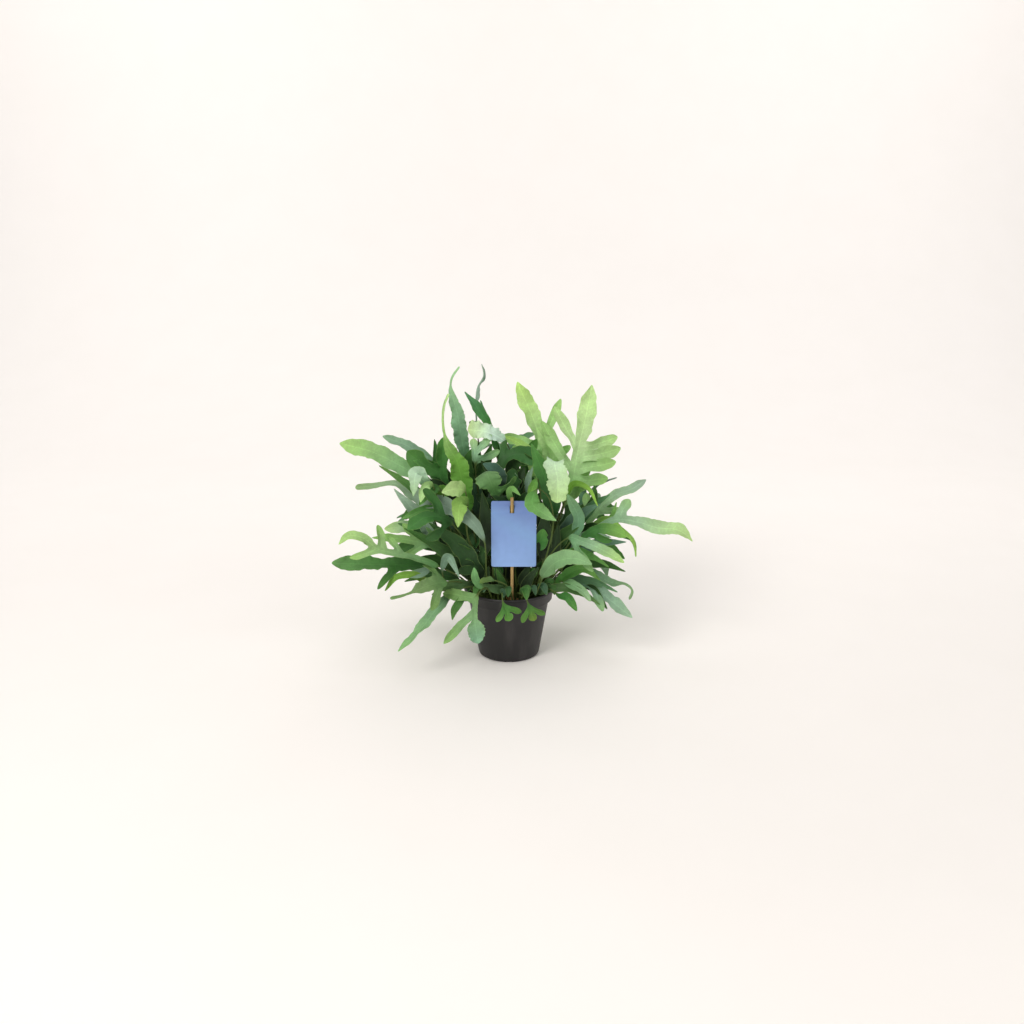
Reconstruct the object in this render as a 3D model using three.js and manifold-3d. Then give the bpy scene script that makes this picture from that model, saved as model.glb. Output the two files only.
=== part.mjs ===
// Blue star fern in a nursery pot, with a plant card on a bamboo stick.
// Millimetres, +Z up, origin at the middle of the pot's resting face, -Y is the front.
import * as THREE from "three";
import { mergeVertices } from "three/addons/utils/BufferGeometryUtils.js";
import Module from "manifold-3d";

const wasm = await Module();
wasm.setup();

// ---------------------------------------------------------------- driving dimensions
const GAP = 0.35; // clearance between touching pieces
const SIDES = 32; // flats round the pot and the soil

const POT = {
  rimRadius: 70,
  rimEdge: 0.8, // bevel of the lip
  height: 110,
  collar: 18, // depth of the stepped collar under the rim
  collarTaper: 2.5,
  shoulder: 5, // how far the body steps in under the collar
  footRadius: 48,
  footRing: 5, // width of the ring that the pot stands on
  footCorner: 5, // height of the rounding above the foot
  wall: 2.2,
  floor: 2.4,
  floorCorner: 3, // slope between the floor and the wall, inside
  lift: 3, // height of the drainage hollow under the floor
  padRadius: 15, // flat pad in the middle of the foot
};
const DRAINS = { count: 6, radius: 4.5, ring: 27, notchWidth: 9, notchHeight: 1.8 };
const SOIL = { edge: 90, mound: 5, ring: 0.55, roughness: 1.1, holeDepth: 9, holeWidth: 4.6 };
const RHIZOME = { radius: 4, raise: 1 };
const STICK = {
  x: 5,
  y: -44,
  radius: 2.4,
  bottom: 40,
  top: 262,
  joint: 84, // height of the bamboo's joint above the bottom
  jointHeight: 2.4,
  jointSwell: 1.12,
};
const CARD = {
  width: 67,
  shift: 2.5, // how far the card's middle lies to the right of the stick
  bottom: 156,
  top: 256,
  thick: 0.8,
  bendLow: 240.5, // the fold behind the stick, over the punched slot
  bendHigh: 248,
  slotRim: 1.5,
  slotSpare: 1,
  corner: 3,
};
const STALK = { radius: 1.5, thinTo: 0.95 };
const BLADE = {
  edge: 0.36, // half thickness at the margin
  rib: 0.85, // half thickness at the rib
  step: 11.5,
  lobedStep: 9,
  wing: 5.5, // half width of the strip that joins the lobes
  strand: 1.7, // half width of a tail
  peak: 0.45,
  power: 3,
  lift: 0.14, // how far the margins stand above the rib, for each unit of half width
  wave: 0.2,
  ripple: 0.06,
  wavelength: 42,
};
const LOBE = {
  step: 11.5,
  peak: 0.55,
  power: 3,
  wave: 0.2,
  ripple: 0.07,
  wavelength: 38,
  sweep: 0.12, // bend towards the frond's tip
  droop: 0.12,
};

// ---------------------------------------------------------------- materials
const TONES = {
  pot_black: { color: 0x2b2a29, roughness: 0.55 },
  soil_peat: { color: 0x3a2a1f, roughness: 0.95 },
  stick_bamboo: { color: 0xb79a62, roughness: 0.6 },
  card_blue: { color: 0x7391cc, roughness: 0.45 },
  frond_mint: { color: 0x9fc3a4, roughness: 0.6 },
  frond_blue_green: { color: 0x7ea88a, roughness: 0.6 },
  frond_deep_green: { color: 0x3f7a2c, roughness: 0.5 },
  frond_fresh_green: { color: 0x9cc96c, roughness: 0.5 },
};

const part = new THREE.Group();
part.name = "blue_star_fern";

/** Adds one closed body to the part as a named mesh with a material of its own. */
function addPiece(name, tone, geometry) {
  const material = new THREE.MeshStandardMaterial({ ...TONES[tone], metalness: 0 });
  material.name = tone;
  const mesh = new THREE.Mesh(geometry, material);
  mesh.name = name;
  part.add(mesh);
}

/** Turns a closed geometry into a solid that can be joined to others and cut. */
function toSolid(geometry) {
  geometry.deleteAttribute("normal");
  geometry.deleteAttribute("uv");
  const merged = mergeVertices(geometry);
  const vertProperties = new Float32Array(merged.attributes.position.array);
  const triVerts = new Uint32Array(merged.index.array);
  return new wasm.Manifold(new wasm.Mesh({ numProp: 3, vertProperties, triVerts }));
}

/** Turns a solid back into a geometry for a mesh. */
function toGeometry(solid) {
  const mesh = solid.getMesh();
  const geometry = new THREE.BufferGeometry();
  geometry.setAttribute("position", new THREE.BufferAttribute(mesh.vertProperties, 3));
  geometry.setIndex(new THREE.BufferAttribute(mesh.triVerts, 1));
  return geometry;
}

/** One solid out of several geometries. */
function joined(geometries) {
  return geometries.map(toSolid).reduce((whole, solid) => whole.add(solid));
}

/** A profile of [radius, height] points, from the axis and back to it, turned about Z. */
function turned(profile) {
  const points = profile.map(([radius, z]) => new THREE.Vector2(radius, z));
  return new THREE.LatheGeometry(points, SIDES).rotateX(Math.PI / 2);
}

/** An upright cylinder that stands on a place. */
function upright(radius, height, sides, [x, y, z]) {
  const cylinder = new THREE.CylinderGeometry(radius, radius, height, sides);
  return cylinder.rotateX(Math.PI / 2).translate(x, y, z + height / 2);
}

/** A box round a place. */
function block(size, middle) {
  return new THREE.BoxGeometry(...size).translate(...middle);
}

/** A repeatable stream of numbers from 0 to 1. */
function seeded(seed) {
  let state = seed * 7919 + 13;
  return () => {
    state = (state * 1103515245 + 12345) % 2147483648;
    return state / 2147483648;
  };
}

// ---------------------------------------------------------------- pot and soil
const collarLow = POT.height - POT.collar;
const collarRadius = POT.rimRadius - POT.collarTaper;
const bodyRadius = collarRadius - POT.shoulder;
const floorTop = POT.lift + POT.floor;

/** Inner radius of the pot's body at a height. */
function innerRadius(z) {
  const share = (z - floorTop) / (collarLow - floorTop);
  return POT.footRadius - POT.wall + share * (bodyRadius - POT.footRadius);
}

/** The pot's wall, collar and foot, with drainage holes and notches through the foot ring. */
function makePot() {
  const { wall, lift, padRadius, footRadius, footRing, footCorner, rimRadius, height, floorCorner } = POT;
  const ringOuter = footRadius - footCorner + 1;
  const ringInner = ringOuter - footRing;
  const pot = toSolid(turned([
    [0, 0],
    [padRadius, 0],
    [padRadius + lift * 0.7, lift],
    [ringInner - 1, lift],
    [ringInner, 0],
    [ringOuter, 0],
    [footRadius - 1, footCorner * 0.3],
    [footRadius, footCorner],
    [bodyRadius, collarLow - 2],
    [collarRadius, collarLow],
    [rimRadius, height - 1],
    [rimRadius - POT.rimEdge, height],
    [rimRadius - wall, height],
    [collarRadius - wall, collarLow + 2.5],
    [innerRadius(collarLow - 1), collarLow - 1],
    [innerRadius(floorTop + floorCorner), floorTop + floorCorner],
    [innerRadius(floorTop) - floorCorner, floorTop],
    [0, floorTop],
  ]));
  const cuts = [];
  for (let k = 0; k < DRAINS.count; k += 1) {
    const turn = ((k + 0.5) / DRAINS.count) * Math.PI * 2;
    const notchLength = footCorner + footRing + 6;
    const notch = block([notchLength, DRAINS.notchWidth, 2 * DRAINS.notchHeight], [footRadius - 3, 0, 0]);
    const drain = upright(DRAINS.radius, floorTop + 2, 8, [DRAINS.ring, 0, -1]);
    cuts.push(notch.rotateZ(turn), drain.rotateZ(turn));
  }
  return pot.subtract(joined(cuts));
}

/** Height of the soil's surface at a radius. */
function soilHeight(radius) {
  const share = radius / innerRadius(SOIL.edge);
  return SOIL.edge + SOIL.mound * (1 - share * share);
}

/** The soil's mound, its inner ring of corners lifted and lowered a little. */
function soilMound() {
  const base = floorTop + GAP;
  const corner = POT.floorCorner;
  const ringRadius = innerRadius(SOIL.edge) * SOIL.ring;
  const mound = turned([
    [0, base],
    [innerRadius(base) - corner - GAP, base],
    [innerRadius(base + corner) - GAP, base + corner + 0.2],
    [innerRadius(SOIL.edge) - GAP, SOIL.edge],
    [ringRadius, soilHeight(ringRadius)],
    [0, soilHeight(0)],
  ]);
  const spots = mound.attributes.position;
  for (let k = 0; k < spots.count; k += 1) {
    const x = spots.getX(k);
    const y = spots.getY(k);
    const onRing = Math.abs(Math.hypot(x, y) - ringRadius) < 0.1;
    const rise = SOIL.roughness * Math.sin(x * 0.3 + 1) * Math.cos(y * 0.24);
    if (onRing) spots.setZ(k, spots.getZ(k) + rise);
  }
  return mound;
}

/** The soil with a plain hole for each stalk and for the stick, and a bed for each rhizome. */
function makeSoil(roots) {
  const depth = 40;
  const holes = roots.map(([x, y]) => {
    const low = soilHeight(Math.hypot(x, y)) - SOIL.holeDepth;
    return block([SOIL.holeWidth, SOIL.holeWidth, depth], [x, y, low + depth / 2]);
  });
  holes.push(upright(STICK.radius + 1.4 * GAP, SOIL.edge, 8, [STICK.x, STICK.y, STICK.bottom - GAP]));
  const beds = TUFTS.map((tuft) => makeRhizome(tuft.rhizome, RHIZOME.radius + GAP));
  return beds.reduce((soil, bed) => soil.subtract(bed), toSolid(soilMound()).subtract(joined(holes)));
}

/** A creeping stem half sunk in the soil, as rounded links from each of its places to the next. */
function makeRhizome(places, radius) {
  const spots = places.map(([x, y]) => {
    return new THREE.Vector3(x, y, soilHeight(Math.hypot(x, y)) + RHIZOME.raise);
  });
  const upwards = new THREE.Vector3(0, 1, 0);
  const links = spots.slice(1).map((to, k) => {
    const from = spots[k];
    const link = new THREE.CapsuleGeometry(radius, from.distanceTo(to), 2, 8);
    const turn = new THREE.Quaternion().setFromUnitVectors(upwards, to.clone().sub(from).normalize());
    return link.applyQuaternion(turn).translate(...from.clone().lerp(to, 0.5));
  });
  return joined(links);
}

// ---------------------------------------------------------------- stick and card
function makeStick() {
  const { x, y, radius, bottom, top } = STICK;
  const sides = 8;
  const shaft = upright(radius, top - bottom, sides, [x, y, bottom]);
  const joint = upright(radius * STICK.jointSwell, STICK.jointHeight, sides, [x, y, bottom + STICK.joint]);
  return joined([shaft, joint]);
}

/** A rectangle with round corners, from its lowest corner. */
function roundedRectangle(left, low, width, height, radius) {
  const shape = new THREE.Shape();
  for (let k = 0; k < 4; k += 1) {
    const x = k === 0 || k === 3 ? left + width - radius : left + radius;
    const y = k < 2 ? low + height - radius : low + radius;
    shape.absarc(x, y, radius, (k * Math.PI) / 2, ((k + 1) * Math.PI) / 2, false);
  }
  return shape;
}

/** A flat card that bends back above its punched slot, so the stick passes through it. */
function makeCard() {
  const front = STICK.y - STICK.radius * STICK.jointSwell - GAP - CARD.thick;
  const back = STICK.y + STICK.radius + GAP;
  const side = new THREE.Shape([
    new THREE.Vector2(front, CARD.bottom),
    new THREE.Vector2(front + CARD.thick, CARD.bottom),
    new THREE.Vector2(front + CARD.thick, CARD.bendLow),
    new THREE.Vector2(back + CARD.thick, CARD.bendHigh),
    new THREE.Vector2(back + CARD.thick, CARD.top),
    new THREE.Vector2(back, CARD.top),
    new THREE.Vector2(back, CARD.bendHigh),
    new THREE.Vector2(front, CARD.bendLow),
  ]);
  const left = STICK.x + CARD.shift - CARD.width / 2;
  const sheet = new THREE.ExtrudeGeometry(side, { depth: CARD.width, bevelEnabled: false });
  sheet.rotateX(Math.PI / 2).rotateZ(Math.PI / 2).translate(left, 0, 0);

  const outline = roundedRectangle(left, CARD.bottom, CARD.width, CARD.top - CARD.bottom, CARD.corner);
  const reach = 20; // how far the cutters run past the card, front and back
  const through = { depth: 2 * reach, curveSegments: 2, bevelEnabled: false };
  const cutter = new THREE.ExtrudeGeometry(outline, through);
  cutter.rotateX(Math.PI / 2).translate(0, STICK.y + reach, 0);

  const slotWidth = 2 * (STICK.radius + CARD.slotSpare);
  const slotHeight = CARD.bendHigh - CARD.bendLow + 2 * CARD.slotRim;
  const slotMiddle = (CARD.bendLow + CARD.bendHigh) / 2;
  const slot = block([slotWidth, reach, slotHeight], [STICK.x, STICK.y, slotMiddle]);
  return toSolid(sheet).intersect(toSolid(cutter)).subtract(toSolid(slot));
}

// ---------------------------------------------------------------- a frond's sheet
/** A thin sheet: corners with a normal and half thickness, and triangles of its upper side. */
class Sheet {
  constructor() {
    this.corners = [];
    this.faces = [];
  }

  corner(point, normal, half) {
    this.corners.push({ point, normal, half });
    return this.corners.length - 1;
  }

  /** Joins two rows of corners that run from the left margin to the right one. */
  join(low, high) {
    for (let k = 0; k + 1 < low.length; k += 1) {
      if (high.length === 1) {
        this.faces.push([low[k], low[k + 1], high[0]]);
      } else {
        this.faces.push([low[k], low[k + 1], high[k + 1]]);
        this.faces.push([low[k], high[k + 1], high[k]]);
      }
    }
  }

  /** Both sides of the sheet, closed with walls along every free edge. */
  close() {
    const spots = [];
    for (const { point, normal, half } of this.corners) {
      const step = normal.clone().multiplyScalar(half);
      const upper = point.clone().add(step);
      const lower = point.clone().sub(step);
      spots.push(upper.x, upper.y, upper.z, lower.x, lower.y, lower.z);
    }
    const index = [];
    const edges = new Set();
    for (const [a, b, c] of this.faces) {
      index.push(2 * a, 2 * b, 2 * c, 2 * a + 1, 2 * c + 1, 2 * b + 1);
      for (const [from, to] of [[a, b], [b, c], [c, a]]) {
        edges.add(`${from}_${to}`);
      }
    }
    for (const [a, b, c] of this.faces) {
      for (const [from, to] of [[a, b], [b, c], [c, a]]) {
        if (!edges.has(`${to}_${from}`)) {
          index.push(2 * to, 2 * from, 2 * from + 1, 2 * to, 2 * from + 1, 2 * to + 1);
        }
      }
    }
    const geometry = new THREE.BufferGeometry();
    geometry.setAttribute("position", new THREE.Float32BufferAttribute(spots, 3));
    geometry.setIndex(index);
    return geometry;
  }
}

/** The slope of a smooth line at the middle one of three points, for a span of a given size. */
function slopeAt(before, here, after, sizeBefore, sizeAfter, span) {
  const slope = here.clone().sub(before).divideScalar(sizeBefore);
  slope.addScaledVector(after.clone().sub(before), -1 / (sizeBefore + sizeAfter));
  slope.addScaledVector(after.clone().sub(here), 1 / sizeAfter);
  return slope.multiplyScalar(span);
}

/** A smooth line through points, as closely spaced samples with their distance along it. */
function smoothLine(points) {
  const count = points.length;
  const before = points[0].clone().multiplyScalar(2).sub(points[1]);
  const after = points[count - 1].clone().multiplyScalar(2).sub(points[count - 2]);
  const all = [before, ...points, after];
  const size = (k) => Math.sqrt(all[k].distanceTo(all[k + 1]));
  const samples = [{ spot: points[0].clone(), knot: 0, run: 0 }];
  const pieces = 24;
  for (let k = 1; k < count; k += 1) {
    const from = all[k];
    const to = all[k + 1];
    const leave = slopeAt(all[k - 1], from, to, size(k - 1), size(k), size(k));
    const arrive = slopeAt(from, to, all[k + 2], size(k), size(k + 1), size(k));
    for (let j = 1; j <= pieces; j += 1) {
      const t = j / pieces;
      const spot = from.clone().multiplyScalar(2 * t ** 3 - 3 * t ** 2 + 1);
      spot.addScaledVector(leave, t ** 3 - 2 * t ** 2 + t);
      spot.addScaledVector(to, 3 * t ** 2 - 2 * t ** 3);
      spot.addScaledVector(arrive, t ** 3 - t ** 2);
      const last = samples[samples.length - 1];
      samples.push({ spot, knot: k - 1 + t, run: last.run + spot.distanceTo(last.spot) });
    }
  }
  return samples;
}

/** The point of a smooth line at a distance along it. */
function pointAt(line, run) {
  let k = 1;
  while (k + 1 < line.length && line[k].run < run) k += 1;
  const from = line[k - 1];
  const to = line[k];
  const share = (run - from.run) / (to.run - from.run || 1);
  return from.spot.clone().lerp(to.spot, share);
}

function directionAt(line, run) {
  const total = line[line.length - 1].run;
  const ahead = pointAt(line, Math.min(run + 2, total));
  return ahead.sub(pointAt(line, Math.max(run - 2, 0))).normalize();
}

/** Half width of a leaf shape from its foot (0) to its tip (1), widest at the peak. */
function leafShape(share, peak, power) {
  if (share < peak) return Math.pow(Math.sin((share / peak) * Math.PI * 0.5), 0.7);
  const fall = (share - peak) / (1 - peak);
  return Math.max(0, 1 - Math.pow(fall, power));
}

/** The frame of a row: along, the upper side's normal and across towards the right margin. */
function rowFrame(along, hint) {
  const normal = hint.clone().addScaledVector(along, -hint.dot(along)).normalize();
  const across = new THREE.Vector3().crossVectors(along, normal);
  return { along, normal, across };
}

/** Three corners of a row: left margin, rib, right margin, the margins waved and lifted. */
function addRow(sheet, spot, frame, row) {
  const margin = (side) => {
    const out = row.half * (1 + row.ripple * Math.sin(row.phase * 1.3 + side * 2));
    const lift = row.half * (BLADE.lift + row.wave * Math.sin(row.phase + side * 1.2));
    const point = spot.clone().addScaledVector(frame.across, side * out);
    return sheet.corner(point.addScaledVector(frame.normal, lift), frame.normal, row.edge);
  };
  const left = margin(-1);
  const rib = sheet.corner(spot.clone(), frame.normal, row.rib);
  return [left, rib, margin(1)];
}

/** The stalk, round enough to roll between fingers, from the soil to the blade's foot. */
function addStalk(sheet, line, bladeStart, hint) {
  const clear = SOIL.holeDepth + 2;
  const runs = [0, ...[0, 0.25, 0.5, 0.75].map((share) => clear + (bladeStart - clear) * share)];
  let low = null;
  for (const run of runs) {
    const size = STALK.radius + (STALK.thinTo - STALK.radius) * (run / bladeStart);
    const flat = { wave: -BLADE.lift, phase: Math.PI / 2, ripple: 0 };
    const row = { ...flat, half: size, edge: size * 0.5, rib: size };
    const high = addRow(sheet, pointAt(line, run), rowFrame(directionAt(line, run), hint), row);
    if (low) sheet.join(low, high);
    low = high;
  }
  return low;
}

/** One side lobe, grown from three corners of the blade's margin. */
function addLobe(sheet, foot, frame, lobe, phase) {
  const side = lobe.side === "R" ? 1 : -1;
  const turn = THREE.MathUtils.degToRad(lobe.angle);
  const start = sheet.corners[foot[1]].point;
  const out = frame.along.clone().multiplyScalar(Math.cos(turn));
  out.addScaledVector(frame.across, side * Math.sin(turn));
  const bend = frame.along.clone().multiplyScalar(LOBE.sweep * lobe.length);
  bend.addScaledVector(frame.normal, -(lobe.droop ?? LOBE.droop) * lobe.length);
  const spotAt = (s) => start.clone().addScaledVector(out, s * lobe.length).addScaledVector(bend, s * s);
  const count = Math.max(3, Math.round(lobe.length / LOBE.step));
  let low = foot;
  for (let k = 1; k <= count; k += 1) {
    const s = k / count;
    const along = spotAt(Math.min(1, s + 0.05)).sub(spotAt(s - 0.05)).normalize();
    const own = rowFrame(along, frame.normal);
    if (k === count) {
      sheet.join(low, [sheet.corner(spotAt(1), own.normal, BLADE.edge)]);
      return;
    }
    const shape = leafShape(s, LOBE.peak, LOBE.power);
    const row = {
      half: (lobe.width / 2) * (s < LOBE.peak ? Math.max(0.8, shape) : shape),
      wave: LOBE.wave,
      ripple: LOBE.ripple,
      phase: phase + ((s * lobe.length) / LOBE.wavelength) * Math.PI * 2,
      edge: BLADE.edge,
      rib: BLADE.rib * (1 - 0.5 * s),
    };
    const high = addRow(sheet, spotAt(s), own, row);
    sheet.join(low, high);
    low = high;
  }
}

/** Half width of a frond's blade at a share of its length: a narrow wing, then the end lobe. */
function bladeHalf(spec, share, ending) {
  const peak = spec.peak ?? BLADE.peak;
  const power = BLADE.power - (spec.drawn ?? 0);
  const wing = spec.wing ?? BLADE.wing;
  const half = spec.width / 2;
  const least = 1.2;
  if (spec.tail) {
    const full = share < spec.tail ? half * leafShape(share / spec.tail, peak, power) : 0;
    return Math.max(spec.strand ?? BLADE.strand, full);
  }
  if (!ending) return Math.max(least, half * leafShape(share, peak, power));
  if (share <= ending) return wing;
  const own = (share - ending) / (1 - ending);
  const shape = leafShape(own, peak, power);
  return Math.max(least, own < peak ? wing + (half - wing) * shape : half * shape);
}

/** A whole frond from its spec: a stalk out of the soil and a simple or lobed blade. */
function makeFrond(spec, number) {
  const phase = seeded(number + 11)() * 6;
  const [x, y] = spec.root;
  const bottom = soilHeight(Math.hypot(x, y)) + (spec.onRhizome ? 0 : GAP - SOIL.holeDepth);
  const foot = [0, SOIL.holeDepth, SOIL.holeDepth + 5].map((rise) => [x, y, bottom + rise]);
  const line = smoothLine([...foot, ...spec.path].map((point) => new THREE.Vector3(...point)));
  const total = line[line.length - 1].run;
  const bladeStart = line.find((sample) => sample.knot >= foot.length + (spec.stalk ?? 1)).run;
  const length = total - bladeStart;
  const faces = spec.face.map((hint) => new THREE.Vector3(...hint).normalize());
  const sheet = new Sheet();
  const lobed = (spec.lobes ?? []).length > 0;
  const step = spec.step ?? (lobed ? BLADE.lobedStep : BLADE.step);
  const count = Math.max(5, Math.round(length / step));
  const lobes = (spec.lobes ?? []).map(([at, side, long, angle, width, droop]) => {
    const station = Math.max(1, Math.round(at * count));
    return { station, side, length: long, angle, width, droop };
  });
  const lastLobe = (Math.max(...lobes.map((lobe) => lobe.station)) + 1) / count;
  const ending = lobed ? lastLobe : (spec.neck ?? 0);

  let low = addStalk(sheet, line, bladeStart, faces[0]);
  const rows = [low];
  const frames = [null];
  for (let k = 1; k <= count; k += 1) {
    const share = k / count;
    const run = bladeStart + length * share;
    const frame = rowFrame(directionAt(line, run), faces[0].clone().lerp(faces[1], share));
    let high = [];
    if (k === count) {
      high = [sheet.corner(pointAt(line, total), frame.normal, BLADE.edge)];
    } else {
      high = addRow(sheet, pointAt(line, run), frame, {
        half: bladeHalf(spec, share, ending),
        wave: spec.wave ?? BLADE.wave,
        ripple: BLADE.ripple,
        phase: phase + ((length * share) / BLADE.wavelength) * Math.PI * 2,
        edge: BLADE.edge,
        rib: BLADE.rib * (1 - 0.45 * share),
      });
    }
    sheet.join(low, high);
    rows.push(high);
    frames.push(frame);
    low = high;
  }

  for (const lobe of lobes) {
    const k = lobe.station;
    const margin = lobe.side === "R" ? 2 : 0;
    const base = [rows[k - 1][margin], rows[k][margin], rows[k + 1][margin]];
    if (lobe.side === "R") base.reverse();
    addLobe(sheet, base, frames[k], lobe, phase + k);
  }
  return sheet.close();
}

// ---------------------------------------------------------------- the fronds
// root: place on the soil. path: points from the stalk to the tip. stalk: how many of those
// come before the blade. face: the way the blade's upper side looks at its foot and its tip.
// width: the blade at its peak. drawn: how far the tip is drawn out, below 0 for a blunt one.
// strand and tail: half width of a long strap, and the share of the blade where it ends.
// neck: share of an unlobed blade that is only a narrow strand at its foot.
// lobes: [place along the blade, side, length, angle, width, droop as a share of the length].
const FRONT = [0, -1, 0.3];
const TILT = [0, -0.8, 0.6];
const SKY = [0, -0.5, 1];
const FAR = [0, 0.4, 1];
const FRONDS = [
  // Tall fronds of the crown.
  {
    name: "frond_crown_right", tone: "frond_fresh_green", root: [22, 12], face: [FRONT, [0.2, -1, 0.4]],
    path: [[62, 18, 185], [95, 28, 256], [109, 46, 324], [120, 58, 369], [129, 70, 415]],
    width: 28, peak: 0.5, drawn: 0.8, wing: 8,
    lobes: [
      [0.08, "R", 46, 80, 19], [0.19, "R", 56, 76, 20], [0.3, "R", 60, 73, 20], [0.42, "R", 56, 68, 18],
      [0.06, "L", 44, 66, 16], [0.22, "L", 82, 46, 19], [0.42, "L", 62, 44, 17],
    ],
  },
  {
    name: "frond_crown_back", tone: "frond_fresh_green", root: [10, 26], face: [FRONT, [0, -1, 0.4]],
    path: [[30, 44, 189], [59, 62, 287], [45, 82, 341], [13, 108, 415]],
    width: 27, peak: 0.5, drawn: 0.8, wing: 7,
    lobes: [
      [0.08, "R", 40, 66, 14], [0.3, "R", 62, 48, 14],
      [0.13, "L", 46, 66, 17], [0.28, "L", 60, 60, 18],
    ],
  },
  {
    name: "frond_crown_dark", tone: "frond_deep_green", root: [4, -2], face: [[0, -0.7, 0.7], FRONT],
    path: [[0, -8, 180], [-16, -9, 257], [-12, -9, 302], [9, -9, 320], [48, -8, 312]],
    width: 27, peak: 0.6, wing: 8, lobes: [[0.5, "L", 22, 60, 14]],
  },
  {
    name: "frond_upright_dark", tone: "frond_deep_green", root: [28, -6], face: [FRONT, FRONT],
    path: [[63, -18, 165], [68, -22, 222], [57, -24, 278], [33, -22, 340]], width: 31, peak: 0.35, drawn: 1,
  },
  {
    name: "frond_small_crown", tone: "frond_mint", root: [-10, -6], face: [FRONT, FRONT],
    path: [[-32, -6, 190], [-47, -5, 264], [-51, -5, 304], [-53, -4, 344]],
    width: 12, step: 7, stalk: 2, wing: 4, lobes: [[0.3, "R", 38, 56, 12], [0.64, "R", 26, 38, 10]],
  },
  {
    name: "frond_crown_lean", tone: "frond_deep_green", root: [-4, 14], face: [FRONT, FRONT],
    path: [[-8, 22, 200], [-19, 32, 316], [-31, 36, 358], [-47, 39, 381], [-68, 42, 408]], width: 15,
    peak: 0.6, drawn: 1.4, wing: 6, lobes: [[0.3, "L", 38, 50, 12], [0.74, "R", 25, 22, 7]],
  },
  {
    name: "frond_crown_pale", tone: "frond_mint", root: [10, 10], face: [[0, 0.8, 0.6], [0, 0.8, 0.6]],
    path: [[10, 18, 220], [8, 24, 296], [-2, 16, 330], [-30, 6, 350], [-62, -2, 356]],
    width: 22, stalk: 2, drawn: -2, wave: 0.26,
  },
  {
    name: "frond_crown_strap", tone: "frond_blue_green", root: [-14, 8], face: [[0.3, -1, 0], [-0.3, -1, 0]],
    path: [[-42, 12, 200], [-64, 15, 288], [-71, 17, 337], [-78, 19, 379], [-87, 21, 412],
      [-85, 22, 430], [-73, 22, 448]],
    width: 22, wave: 0.25, tail: 0.84, drawn: 1, strand: 1.5,
  },
  {
    name: "frond_crown_edge", tone: "frond_blue_green", root: [-8, 24], face: [[1, 0.2, 0], [1, -0.2, 0]],
    path: [[-30, 44, 230], [-50, 54, 350], [-49, 55, 410], [-39, 57, 430], [-42, 57, 449]], width: 16,
  },
  {
    name: "frond_high_left", tone: "frond_blue_green", root: [-24, 4], face: [FRONT, [-0.3, -0.8, 0.6]],
    path: [[-66, 6, 195], [-105, 10, 257], [-144, 16, 284], [-177, 30, 300],
      [-214, 46, 313], [-246, 60, 319], [-268, 70, 322]],
    width: 28, peak: 0.6, drawn: -1,
  },
  {
    name: "frond_high_left_upper", tone: "frond_blue_green", root: [-18, 16], face: [FRONT, TILT],
    path: [[-60, 24, 222], [-112, 40, 296], [-157, 60, 318], [-202, 86, 331]], width: 16, drawn: -1,
  },
  {
    name: "frond_left_dark", tone: "frond_deep_green", root: [-18, -6], face: [FRONT, FRONT],
    path: [[-58, -12, 190], [-92, -15, 268], [-98, -15, 310], [-97, -15, 348]], width: 20, step: 9,
    lobes: [[0.3, "L", 58, 62, 30]],
  },
  {
    name: "frond_left_bright", tone: "frond_fresh_green", root: [-16, -16], face: [FRONT, FRONT],
    path: [[-44, -25, 166], [-58, -30, 233], [-68, -33, 280], [-76, -33, 313], [-89, -31, 337],
      [-96, -29, 369], [-94, -28, 396], [-87, -28, 414]],
    width: 29, tail: 0.7, drawn: 1.2, peak: 0.4, lobes: [[0.26, "L", 34, 96, 20]],
  },
  // Fronds half way up.
  {
    name: "frond_front_crinkled", tone: "frond_mint", root: [36, -4], face: [[0, 0.7, 0.7], [0, -1, 0.3]],
    path: [[66, 2, 190], [86, -8, 256], [74, -50, 312], [66, -72, 320], [70, -86, 298], [69, -94, 266]],
    width: 34, neck: 0.45, wing: 4, peak: 0.6, drawn: -3, step: 10,
  },
  {
    name: "frond_right_upper", tone: "frond_blue_green", root: [38, 2], face: [FRONT, TILT],
    path: [[83, 2, 151], [118, 6, 204], [140, 10, 232], [165, 14, 252], [190, 20, 260], [213, 26, 274]],
    width: 15, drawn: -1, wave: 0.25, lobes: [[0.12, "L", 34, 50, 14], [0.25, "R", 34, 50, 12]],
  },
  {
    name: "frond_right_long", tone: "frond_blue_green", root: [40, -14], face: [FRONT, [0.3, -0.8, 0.7]],
    path: [[86, -24, 153], [130, -34, 209], [158, -44, 228], [190, -58, 228],
      [218, -70, 223], [247, -82, 222], [266, -92, 208]],
    width: 20, wave: 0.25, drawn: -1, lobes: [[0.3, "L", 28, 74, 15]],
  },
  {
    name: "frond_right_dark", tone: "frond_deep_green", root: [38, -24], face: [FRONT, TILT],
    path: [[77, -42, 150], [106, -56, 200], [129, -70, 221], [150, -82, 223], [171, -92, 215]], width: 18,
    lobes: [[0.35, "R", 30, 45, 12]],
  },
  {
    name: "frond_right_drooping", tone: "frond_blue_green", root: [28, -30], face: [FRONT, TILT],
    path: [[56, -46, 165], [86, -62, 205], [106, -80, 206], [134, -98, 198], [165, -120, 185]], width: 15,
    drawn: -1, lobes: [[0.2, "R", 50, 38, 13]],
  },
  {
    name: "frond_over_card", tone: "frond_fresh_green", root: [38, -38], face: [FRONT, FRONT],
    path: [[52, -56, 160], [66, -60, 226], [58, -62, 270], [43, -68, 282], [34, -72, 261],
      [47, -74, 248], [70, -76, 235]],
    width: 22, stalk: 3, peak: 0.42, drawn: 1.2,
  },
  {
    name: "frond_right_striped", tone: "frond_blue_green", root: [30, -20], face: [FRONT, FRONT],
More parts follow.
